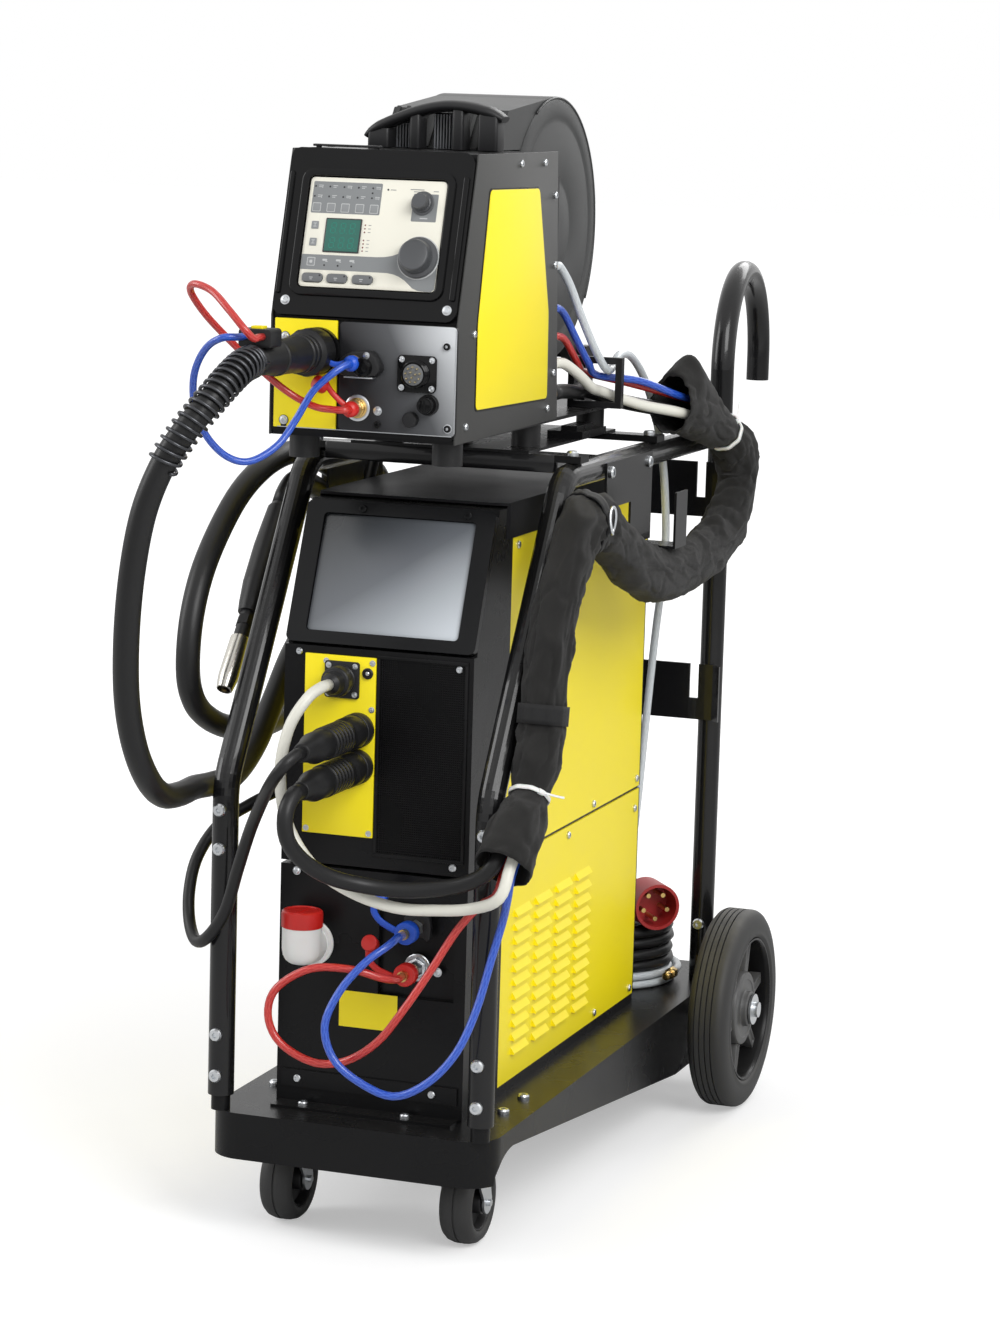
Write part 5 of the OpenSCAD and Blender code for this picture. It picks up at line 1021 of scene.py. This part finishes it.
# Remote socket: a square flange on the panel, a threaded shell, and an insert with twelve pins.
pin_gold = finish("pin_plate", (0.70, 0.60, 0.38), 0.25, 600, 0.04, 0.08, Metallic=1.0)
socket = 66, -72, 1003
shell_edge = [(15.4, 3.0), (15.4, 6.4), (14.6, 7.2)]
for i in range(3):
    shell_edge += [(14.6, 7.6 + i * 1.9), (15.2, 8.2 + i * 1.9), (15.2, 8.8 + i * 1.9), (14.6, 9.4 + i * 1.9)]
shell_edge += [(14.6, 14.4), (13.6, 15.2), (12.9, 15.2), (12.7, 14.6)]
forward("socket_shell", socket, shell_edge, 48, *gloss)
forward("socket_insert", socket, [(11.6, 14.8), (11.6, 15.4), (10.8, 15.7), (0.5, 15.7)], 40, key_grey, "key_grey")
pins = []
for count, circle in ((9, 8.4), (3, 3.4)):
    for i in range(count):
        a = 2 * math.pi * i / count + 0.2
        pin = turned("pin", [(1.15, 15.5), (1.15, 17.6), (0.7, 18.4)], 12)
        pins.append(nudge(pin, circle * math.cos(a), circle * math.sin(a)))
set_down(joined("socket_pins", pins), ahead(*socket), pin_gold, "brass")
on_front(slab("socket_flange", 66, 1003, 45.5, 40.5, 74.9, 76.2, 5), *gloss, 0.5)
screws("socket_screw", [(66 + x, 1003 + z) for z in (15.4, -15.4) for x in (-17.6, 17.6)], 76.0, 2.2, 1.6)

# Fuse holder, blanking button, the screws at the panel's edge and their keyholes.
holder = turned("fuse_holder", [(11.4, 0), (11.4, 4), (10.4, 5.4), (9.2, 6), (8.8, 14), (8.0, 15.6), (6.4, 16.2),
                                (0.5, 16.2)], 48)
carve(fluted(holder, 6.5, 13.8, 0.5, 8), [slab("slot", 0, 0, 2.0, 12, 14.6, 18)])
set_down(holder, ahead(80, -72, 970), *gloss)
set_down(slab("fuse_slot", 0, 0, 1.6, 9, 14.4, 15.2), ahead(80, -72, 970), *bright)
forward("blanking_button", (60, -72, 953), [(8.4, 0), (8.4, 8.6), (7.4, 10), (5.6, 10.4), (0.5, 10.5)], 40, *black)
screws("panel_screw", [(99, 1034), (102, 945), (20, 960), (-91, 1036), (-91, 944)], 72.2, 3.8, 2.6)
keyholes = []
for z in (1036, 944):
    keyholes += [nudge(turned("hole", [(5.6, 0), (5.6, 0.25)], 28), -91, z, 72.2),
                 slab("drop", -91, z - 5.5, 6.5, 8, 72.2, 72.45)]
on_front(joined("keyholes", keyholes), sheet_black, "module_black")

# Torch plug: a moulded rubber boot over the connector. It has a fluted nut at the panel, rounded
# grip rings, and a smooth cuff that takes the kink spring, with the hose clip on top.
boot = turned("torch_boot", [(25, 0), (26.2, 1.2), (26.4, 22), (25.4, 24.6), (22, 26), (20.4, 27), (20.4, 32),
                             (21.6, 33.4), (21.6, 37), (20.4, 38.4), (20.4, 43), (21.6, 44.4), (21.6, 48),
                             (20.2, 49.6), (19.6, 62), (19.2, 86), (19.0, 104), (19.8, 106), (19.8, 111),
                             (18.6, 112.6), (17.4, 124), (16.6, 138), (16.2, 156), (15.6, 163.5), (14.6, 165)], 64)
set_down(fluted(boot, 2, 22, 0.9, 24), ahead(-51, -85, 1022), cable_rubber, "black_plastic", smooth=30,
         node="torch_plug")
on_front(slab("hose_clip", -51, 1046, 38, 20, 220, 250, 4), cable_rubber, "black_plastic", 1.6, node="torch_plug")
tab = slab("hose_clip_tab", -51, -238, 13.6, 13.6, 1055.5, 1058.8, 1.5)
set_down(tab, upright, yellow, "yellow_paint", 0.4, node="torch_plug")

# ---- cooler front
# Filler: a blow-moulded white elbow that comes out of the panel and turns up, with a red screw cap
# ribbed for the hand. The quick couplings are plated, each with a dust cap on a moulded strap.
elbow = even(route([(-74, 2, 341), (-74, -1, 341), (-74, -12, 341), (-74, -23, 343), (-74, -29, 350), (-74, -30, 358),
                    (-74, -30, 367), (-74, -30, 370)], 10), 2.5)
swept("filler_elbow", elbow, lambda i, a: 22.6 - (1.6 if i < 5 else 0), 48, *white,
      first=Vector((1, 0, 0)), node="filler_neck")
belly = turned("filler_belly", [(8, -20), (14, -18.2), (18.5, -14.5), (21.4, -9), (22.6, -2), (22.7, 6), (22.7, 26)],
               48)
set_down(belly, ((-74, -30, 342), (0, 0, 1)), *white)
forward("filler_seat", (-74, 0, 341), [(27, 0), (27, 2.4), (26, 3.4), (23, 3.6)], 48, *white)
cap = turned("filler_cap_shell", [(22.6, 0), (23.6, 0.6), (23.8, 2), (23.8, 15.5), (23.2, 18), (21.2, 19.6),
                                  (17.5, 20), (16.8, 19.2), (0.5, 18.8)], 96)
cap = joined("filler_cap_shell", [fluted(cap, 1, 16, 0.5, 23), slab("grip", 0, 0, 6.4, 27, 18.4, 20, 2.4)])
set_down(cap, ((-74, -30, 365.3), (0, 0, 1)), *red, body="filler_cap", smooth=30, node="filler_cap")

for name, height, look in (("blue", 373, blue), ("red", 325, red)):
    quick = 56, 0, height
    forward("quick_base_" + name, quick, [(12.4, -8), (12.4, 5), (11.4, 6), (9.4, 6.6), (9.4, 17), (8.8, 18),
                                          (8.8, 22)], 6, zinc, "brass", 0.5, node="coolant_couplings")
    nose = turned("quick_nose_" + name, [(9.2, 20), (9.8, 21), (9.8, 27), (8.8, 28), (8.8, 40), (7.8, 41.6),
                                         (6.4, 42), (6.0, 50)], 36)
    set_down(fluted(nose, 21.5, 26.5, 0.4, 9.4), ahead(*quick), brass, "brass", node="coolant_couplings")
    forward("quick_cuff_" + name, quick, [(9.0, 29), (12.4, 30), (12.9, 31), (12.9, 43), (12.2, 44), (8.8, 44.6)], 36,
            *look, node="coolant_couplings")
forward("quick_ring_red", quick, [(16, 0), (16, 1.4), (15, 2.2), (12.6, 2.2), (12.2, 1.0)], 44, *bright)
guard = cut_out("quick_latch", [(40, 374), (41, 383), (47, 391), (57, 394), (67, 391), (72, 385), (74, 374), (73, 360),
                                (68, 357), (64, 362), (56, 361), (46, 361)], 0.2, 9)
on_front(guard, *black, 2.4)
strap("dust_strap_blue", [(47, -37, 373), (46, -37, 373), (36, -38, 377), (24, -39, 384), (17, -40, 394),
                          (18, -40, 404), (22, -39.5, 409), (23, -39.4, 410)], 8, 2.4, *blue)
dust_cap = turned("dust_cap_blue_low", [(8.8, 0), (9.4, 1), (9.4, 11), (8.4, 12.4), (0.5, 12.8)], 32)
set_down(dust_cap, ((22, -34, 411), (0.25, -0.85, 0.5)), *blue, 0.3)
strap("dust_strap_red", [(46, -37, 320), (45, -37, 320), (34, -38, 323), (22, -39, 328), (13, -39, 336),
                         (11, -38.5, 346), (12, -38, 352), (12.5, -38, 353)], 8, 2.4, *red)
dust_cap = turned("dust_cap_red_low", [(8.8, 0), (9.4, 1), (9.4, 10), (8.4, 11.4), (0.5, 11.8)], 32)
set_down(dust_cap, ((12, -33, 354), (0.1, -0.9, 0.4)), *red, 0.3)
pan_screw("cooler_screw_1", front, 80, 322, 0)
pan_screw("cooler_screw_2", front, -93, 423, 3, 3.6, 2.4)
pan_screw("cooler_screw_3", front, 88, 423, 3, 3.6, 2.4)

# ---- power source front
# Display glass: a dark smoked pane set in the hood, with a painted reflection: its colour runs
# from near black at the upper left to light grey at the lower right, as a softbox would show in it.


def ramped(material, slide, dark, middle, where, light):
    """Colours a material by a value that slides from dark, through a middle tone, to light: here a painted reflection.
    """
    tree = material.node_tree
    ramp = tree.nodes.new("ShaderNodeValToRGB")
    ramp.color_ramp.elements[0].color = (*dark, 1)
    ramp.color_ramp.elements[1].color = (*light, 1)
    ramp.color_ramp.elements.new(where).color = (*middle, 1)
    connect(tree, ramp, {"Fac": slide})
    connect(tree, tree.nodes["Principled BSDF"], {"Base Color": ramp.outputs["Color"]})


smoked = finish("smoked_glass_painted_reflection", (0.060, 0.064, 0.072), 0.30, 400, 0.004, 0.05, Coat_Weight=0.5, Coat_Roughness=0.22)
# Painted reflection: the glass colour gets lighter towards the lower right of the pane.
tree = smoked.node_tree
axes = split(tree, node(tree, "TexCoord")["Object"])
slide = step(tree, "MULTIPLY_ADD", axes["Z"], -4.2, step(tree, "MULTIPLY_ADD", axes["X"], 2.8, 3.72))
ramped(smoked, slide, (0.008, 0.009, 0.010), (0.115, 0.125, 0.140), 0.5, (0.56, 0.60, 0.64))
hood_deep, hood_high = 62, 155
lean = math.atan2(hood_high, hood_deep)
pane = slab("display_glass", 0, math.hypot(hood_deep, hood_high) / 2, 183, 137, -4.2, -2.6, 4.6)
set_down(pane, ((0, 0, 687), (0, -math.sin(lean), math.cos(lean))), smoked, "hood_grey", 0.4)

# Feeder socket plate: satin black sheet over the case, with a painted reflection: its colour runs
# from dark at the lower left to bright at the upper right, clouded a little. Two thin bright metal strips along its
# right and lower edges are painted highlights.
satin = finish("satin_plate_painted_reflection", (0.05, 0.052, 0.055), 0.30, 1700, 0.10, 0.05, Specular_IOR_Level=0.3)
tree = satin.node_tree
place = node(tree, "TexCoord")["Object"]
axes = split(tree, place)
cloudy = node(tree, "TexNoise", {"Vector": place, "Scale": 9, "Detail": 1})["Fac"]
# Painted reflection: lighter to the right and upwards, with a little cloudy noise.
slide = step(tree, "MULTIPLY_ADD", axes["X"], 7.0, step(tree, "MULTIPLY_ADD", axes["Z"], 3.4, -3.36))
slide = step(tree, "MULTIPLY_ADD", cloudy, 0.30, step(tree, "SUBTRACT", slide, 0.15))
ramped(satin, slide, (0.016, 0.016, 0.018), (0.085, 0.088, 0.094), 0.45, (0.62, 0.64, 0.66))
on_front(slab("socket_plate_face", 42, 996, 136.5, 118.5, 71.6, 72.25, 4.5), satin, "black_paint", 0.25)
# Painted highlights: thin bright zinc strips along the plate's right and lower edges.
highlight_strips = [slab("strip", *bar, 71.9, 72.5) for bar in ((109.4, 996, 0.9, 112), (4, 936.6, 205, 0.9))]
on_front(joined("plate_painted_edge_highlights", highlight_strips), *bright)

# ---- carry handle and spool cover
# Handle: one wide arched moulding bolted through the case top, rounded for the hand, its ends
# drawn out past the posts.
arch = route([(-82, 140, 1252), (-80, 140, 1255), (-68, 140, 1263), (-42, 140, 1274.5), (-14, 140, 1284),
              (14, 140, 1289), (42, 140, 1288), (66, 140, 1283), (80, 140, 1277), (83, 140, 1275.4)], 8)
arch_last = len(arch) - 1


def handle_skin(i, a):
    from_end = min(i, arch_last - i) / 10
    blunt = min(1.0, 0.72 + 0.28 * from_end)
    wide, thick = 16.0 * blunt, 6.6 * min(1.0, 0.6 + 0.4 * from_end)
    c, s = abs(math.cos(a)) / thick, abs(math.sin(a)) / wide
    return 1 / (c ** 2.6 + s ** 2.6) ** (1 / 2.6)


swept("carry_handle_grip", arch, handle_skin, 40, *black, first=Vector((0, 0, 1)), node="carry_handle")
posts = [slab("post", x, 140, w, 27, 1240, high, 4)
         for x, w, high in ((-66, 26, 1262), (-22, 13, 1280), (30, 14, 1287), (66, 24, 1281))]
set_down(joined("carry_handle_posts", posts), upright, *black, 1.2, node="carry_handle")

# Windows at the cover's nose: clear ribbed plastic, through which the wire feeds past a dark wall.
clear_rib = finish("clear_ribbed", (0.25, 0.26, 0.28), 0.16, 500, 0.03, 0.25, Coat_Weight=0.6)
ribs = [slab("rib", x + k * 3.6, 159.5, 2.2, 3.0, 1240.4, high, 0.9, 3)
        for x, count, high in ((-62, 9, 1268), (-9, 8, 1279)) for k in range(count)]
set_down(joined("cover_windows", ribs), upright, clear_rib, "black_plastic", body="spool_cover")
walls = [slab("wall", x, 162, w, 2.4, 1241, high, 0.8) for x, w, high in ((-47.5, 34, 1270), (4, 31, 1281))]
set_down(joined("cover_window_wall", walls), upright, *gloss, 0.4, "spool_cover")

# Cover side: a shallow pressed disc with a rolled border, and a rounded bead along its rim.
disc = turned("spool_cover_face", [(153.5, -0.4), (153.5, 0.4), (151, 1.8), (140, 2.6), (131, 2.6), (127.5, 1.5),
                                   (124, 2.3), (64, 3.2), (58, 2.0), (54, 2.0), (50, 3.0), (20, 3.3), (0.5, 3.3)], 96)
set_down(disc, ((65, 365, 1146), (1, 0, 0)), cover_black, "black_plastic", body="spool_cover", smooth=40)
bead = [Vector((66.2, 365 + 153.4 * math.cos(t), 1146 + 153.4 * math.sin(t)))
        for t in [math.radians(-35 + k * 3) for k in range(52)]]
swept("spool_cover_bead", bead, 1.5, 12, cover_black, "black_plastic", body="spool_cover", first=Vector((1, 0, 0)))

# Wire spool: copper-coated wire wound in close turns between two flanges, on a dark hub.
wire_copper = finish("copper_wire", (0.55, 0.23, 0.10), 0.30, 700, 0.05, 0.15, Metallic=1.0)
winding = [(118, -45)]
for k in range(58):
    z = -45 + k * 1.55
    winding += [(120.0, z + 0.4), (121.0, z + 0.78), (120.0, z + 1.16)]
wound = turned("wound_wire", winding + [(118, 45)], 72)
set_down(wound, ((-5, 365, 1146), (1, 0, 0)), wire_copper, "spool_plastic", body="wire_spool", smooth=30)
flange_dark = finish("spool_flange", (0.030, 0.030, 0.032), 0.45, 900, 0.1, 0.1)

# ---- wheels
# Rear wheels: a solid rubber tyre with narrow grooves, pressed on a grey moulded rim whose six
# spokes run from a stepped hub disc. They turn on the axle.
rim_grey = finish("rim_grey", (0.072, 0.072, 0.072), 0.44, 1300, 0.14, 0.10, 0.06)


def ringed(name, section, sides=96):
    """A closed ring on the Z axis: a loop of (radius, height) points spun once round."""
    bpy.ops.mesh.primitive_circle_add(vertices=len(section), radius=0.01, fill_type="NOTHING", location=(0, 0, 0))
    part = bpy.context.object
    part.name = name
    for vertex, (radius, height) in zip(part.data.vertices, section):
        vertex.co = (radius / 1000, 0, height / 1000)
    bpy.ops.object.mode_set(mode="EDIT")
    bpy.ops.mesh.select_all(action="SELECT")
    bpy.ops.mesh.spin(steps=sides, dupli=False, angle=2 * math.pi, use_auto_merge=True, center=(0, 0, 0),
                      axis=(0, 0, 1))
    bpy.ops.mesh.select_all(action="SELECT")
    bpy.ops.mesh.remove_doubles(threshold=0.000002)
    outward()
    return part


tyre_section = [(93, 5), (94, 2.6), (97, 1.2), (106, 0), (116, 0.8), (122.5, 3), (126.4, 6), (128.4, 9.5)]
for z in (12.4, 19.6, 27.0, 34.2):
    tyre_section += [(129, z - 0.8), (126.4, z - 0.5), (126.4, z + 0.7), (129, z + 1)]
tyre_section += [(129, 40), (128.4, 43.5), (126.4, 47), (122.5, 50), (116, 52.2), (106, 53), (100.4, 52.6), (99.4, 53),
                 (97.4, 53), (96.2, 52), (94, 50.6), (93, 48)]
rim_section = [(93.4, 4), (93.4, 49.6), (92.4, 51.2), (90.4, 51.2), (89.2, 49.8), (88, 45), (87, 31), (87, 22), (88, 8),
               (89.2, 4), (90.4, 2.6), (92.4, 2.6)]
hub_profile = [(28, 0), (28, 20), (30, 22), (47, 25), (48, 27), (48, 41), (46.8, 43), (44, 44), (38, 44.6), (37, 43.4),
               (24, 43.4), (23, 45), (23, 50.5), (21.5, 52), (16, 52.6)]


def on_wheel(name, part, material, slot="caster_rubber", edge=0.0, smooth=35):
    x = -1 if name.endswith("left") else 1
    place = ((x * 190, 742, 129), (x, 0, 0)) if name.startswith("rear") else ((x * 111, 36, 50), (1, 0, 0))
    set_down(part, place, material, slot, edge, name, smooth, name)


for hand in ("right", "left"):
    wheel = "rear_wheel_" + hand
    on_wheel(wheel, ringed("tyre_" + hand, tyre_section), rubber, "tyre_rubber", smooth=40)
    on_wheel(wheel, ringed("rim_" + hand, rim_section), sheet_black, smooth=40)
    hub, spokes = turned("hub_disc_" + hand, hub_profile, 64), []
    for k in range(6):
        spoke = carve(slab("spoke", 66, 0, 44, 15, 18, 40), [slab("groove", 67, 0, 36, 7, 38.2, 44)])
        spoke.data.transform(Matrix.Rotation(k * math.pi / 3 + 0.26, 4, "Z"))
        spokes.append(spoke)
    on_wheel(wheel, joined("wheel_spokes_" + hand, spokes), rim_grey, edge=1.2)
    on_wheel(wheel, carve(hub, [turned("bore", [(10.1, -2), (10.1, 60)], 32)]), rim_grey, edge=0.3)

# Casters: rounded rubber tyres with a moulding line, on black plastic centres that turn on a bolt.
caster_tyre = [(34, -17), (36, -18.6), (40, -19.6), (44, -18.6), (47.6, -14.5), (49.6, -8), (50, -3), (49.9, -1.2),
               (48.6, -0.8)]
caster_tyre += [(radius, -height) for radius, height in reversed(caster_tyre)]
caster_centre = [(34.3, 16), (32.5, 17), (31, 15), (30, 6), (14, 4), (14, 19), (12, 20), (4.2, 20)]
caster_centre += [(radius, -height) for radius, height in reversed(caster_centre)]
for hand in ("right", "left"):
    wheel = "caster_wheel_" + hand
    on_wheel(wheel, ringed("caster_tyre_" + hand, caster_tyre, 72), rubber, smooth=40)
    on_wheel(wheel, ringed("caster_centre_" + hand, caster_centre, 48), moulded_black, edge=0.4)

# ---- platform and torch gun
# Front edge of the feeder's platform: a square tube welded under the front bar, between the rails.
front_bar = slab("platform_front_tube", 0, 180.5, 284, 14, 876.5, 897.3)
set_down(front_bar, upright, tube_black, "cart_paint", 2.5)

# Torch gun: nozzle of satin steel with a turned shoulder, over a brass gas body.
gun_steel = finish("satin_steel", (0.60, 0.58, 0.53), 0.26, 700, 0.06, 0.15, Metallic=1.0)
gun_at, gun_lean = Vector((-200, 189, 814)), math.atan(10 / 12)
gun_axis = Vector((0, -math.sin(gun_lean), -math.cos(gun_lean)))
gun_end = gun_at + gun_axis * 184, gun_axis
nozzle = turned("gun_nozzle", [(10.4, 0), (11.8, 0.6), (12, 2), (12, 50), (11.6, 56), (9.4, 69.4), (8.8, 70),
                               (7.4, 70), (7.2, 68.5), (8.8, 56), (8.8, 34), (0.5, 34)], 48)
set_down(nozzle, gun_end, gun_steel, "brass", node="torch_nozzle")
tip = turned("contact_tip", [(4, 32), (4, 58), (3, 64), (1.2, 64.4), (0.6, 62)], 24)
set_down(tip, gun_end, brass, "brass", node="torch_nozzle")

# ---- plates, sockets and grille
# Yellow plates with square corners, screwed over the sockets of the power source and the feeder.
on_front(slab("power_plate", -45, 572, 86, 206, 0, 3, 0.8, 2), yellow, "yellow_paint", 0.5, node="connector_plates")
on_front(slab("feeder_plate", -66.5, 996, 74, 120, 69, 72, 0.8, 2), yellow, "yellow_paint", 0.5,
         node="connector_plates")
screws("plate_screw", [(-62, 668), (-6, 669), (-83, 622), (-6, 616), (-83, 474), (-6.5, 474)], 3.0, 2.3, 1.2)

# Control socket: a square flange with four screws; the cable plug is locked in it by a ribbed ring.
# Beside it a push-in fuse holder with a bright cap, and below it the two weld sockets.
on_front(slab("control_flange", -42, 648, 42, 42, 3, 6, 3.5), *black, 0.6, node="panel_sockets")
screws("flange_screw", [(x, z) for z in (664, 632) for x in (-58, -26)], 6.0, 2.2, 1.2)
plug = turned("control_plug", [(17, 0), (17, 2), (15.6, 3), (15.6, 6), (17.2, 7), (17.2, 20), (15.8, 21.5), (13.4, 22),
                               (13.4, 27), (11.6, 30), (11.6, 34), (8.4, 38), (7.4, 39)], 40)
set_down(fluted(plug, 8, 19, 0.8, 15), ahead(-42, -6, 648), *black, 0.3, node="panel_sockets")
forward("key_ring", (-11.5, -3, 657), [(6.4, 0), (6.4, 1.6), (5.4, 2.6), (4.6, 2.6), (4.4, 1.4), (0.5, 1.4)], 32,
        *black, node="panel_sockets")
forward("key_core", (-11.5, -3, 657), [(2.4, 0), (2.4, 2.6), (1.8, 3.2), (0.4, 3.2)], 20, *bright,
        node="panel_sockets")
for z in (592, 550):
    forward("weld_socket_%d" % z, (-22, -3, z), [(20, 0), (20, 9), (19, 10.5), (19, 13), (20, 14), (20, 15.2),
                                                 (19.2, 16)], 48, *black, 0.3, node="panel_sockets")

# Fan grille: a fine square mesh punched in thin sheet, in a flat rim.
pitch, columns, rows = 2.6, 39, 85
bpy.ops.mesh.primitive_plane_add(size=pitch / 1000, location=(0, 0, 0))
mesh_sheet = bpy.context.object
mesh_sheet.name = "fan_mesh"
bpy.ops.object.mode_set(mode="EDIT")
bpy.ops.mesh.select_all(action="SELECT")
bpy.ops.mesh.inset(thickness=0.00042, use_boundary=True)
bpy.ops.mesh.delete(type="FACE")
bpy.ops.object.mode_set(mode="OBJECT")
nudge(mesh_sheet, 53.5 - pitch * (columns - 1) / 2, 563.5 - pitch * (rows - 1) / 2, 1.2)
for name, count, way in (("across", columns, (1, 0, 0)), ("up", rows, (0, 1, 0))):
    repeat = mesh_sheet.modifiers.new(name, "ARRAY")
    repeat.count = count
    repeat.use_relative_offset = False
    repeat.use_constant_offset = True
    repeat.constant_offset_displace = [pitch / 1000 * axis for axis in way]
    repeat.use_merge_vertices = True
    repeat.merge_threshold = 0.00002
    bpy.ops.object.modifier_apply(modifier=name)
on_front(thickened(mesh_sheet, "thick", 0.8, 0), sheet_black, "module_black", node="mesh_grille")
bars = ((53.5, 450.5, 109, 4), (53.5, 676.5, 109, 4), (0.7, 563.5, 3.6, 224), (106.3, 563.5, 3.6, 224))
rim = joined("fan_mesh_rim", [slab("bar", *bar, 0, 2) for bar in bars])
on_front(rim, sheet_black, "module_black", 0.3, node="mesh_grille")

# Cooler label: a plain yellow sheet with one corner cut off, glued on; it carries no text.
label = cut_out("cooler_label", [(-38.5, 247), (21, 247), (32.5, 257), (32.5, 289), (-38.5, 289)], 0.0, 0.35)
on_front(label, yellow, "yellow_paint")

# ---- feeder sides
# Sheet steel, black, with a pressed yellow field: its corners are round, and a low step runs round it
# in a darker black than the side, as painted shade for the shadow line at the pressed edge. Each side is held to the
# feeder's case by the screws at its rim.
side_outline = [(-69, 927), (-69, 1059), (-17, 1240), (247, 1240), (271, 930)]
field_outline = [(-9, 961), (-9, 1056), (21, 1201), (183, 1199), (226, 1056), (229, 957)]
middle = [sum(line) / len(line) for line in zip(*field_outline)]
shade_step_outline = [tuple(p + math.copysign(2.2, p - m) for p, m in zip(corner, middle)) for corner in field_outline]
plates = (("feeder_side_", side_outline, -2, 0, 0, side_black, "black_paint", 0.5),
          # The step round the yellow field is painted shade: a darker black than the side plate.
          ("feeder_field_shade_step_", shade_step_outline, -0.2, 0.6, 7, sheet_black, "black_paint", 0.25),
          ("feeder_field_", field_outline, 0.2, 1.5, 6, yellow, "yellow_paint", 0.5))
for side, hand in ((1, "right"), (-1, "left")):
    for name, outline, low, high, corner, material, slot, edge in plates:
        plate = cut_out(name + hand, [(side * y, z) for y, z in outline], low, high, corner)
        set_down(plate, ((side * 110, 0, 0), (side, 0, 0)), material, slot, edge, node="feeder_sides")

# ---- painted steel and moulded nodes
# Every sheet, tube, casting and moulding that keeps its solid gets its finish here.
paint("side_rails lower_posts rear_poles hose_hangers", tube_black)
paint("chassis feeder_platform cooler_base rear_panels cooler_front power_front internal_units", sheet_black)
# The case top gets the shaded copy of the black paint.
paint("power_top", top_black_painted_shade)
paint("side_panels", yellow)
paint("display_hood", hood_black)
paint("cart_bolts axle caster_heads caster_fork_right caster_fork_left case_screws", zinc)
paint("front_bezel", gloss_black)
paint("torch_gun torch_trigger", moulded_black)
paint("spool_cover", cover_black)
paint("wire_spool", flange_dark)
plug_axis = Vector((math.cos(plug_way), math.sin(plug_way), 0))


def on_pin(x, y, z):
    away = Vector((x, y, z)) - plug_at
    along = away.dot(plug_axis)
    return along > 74.3 and (away - along * plug_axis).length < 22


paint("mains_plug", plug_red, (brass, on_pin))
paint("connector_panel", sheet_black, (brass, lambda x, y, z: y < -72.5 and abs(x + 3.5) < 12))
paint("rear_fittings", moulded_black, (brass, lambda x, y, z: abs(x - 88) < 14 and z > 940 and y < 306))
paint("feeder_chassis", sheet_black, (cable_rubber, lambda x, y, z: z < 926.9))

low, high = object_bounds()
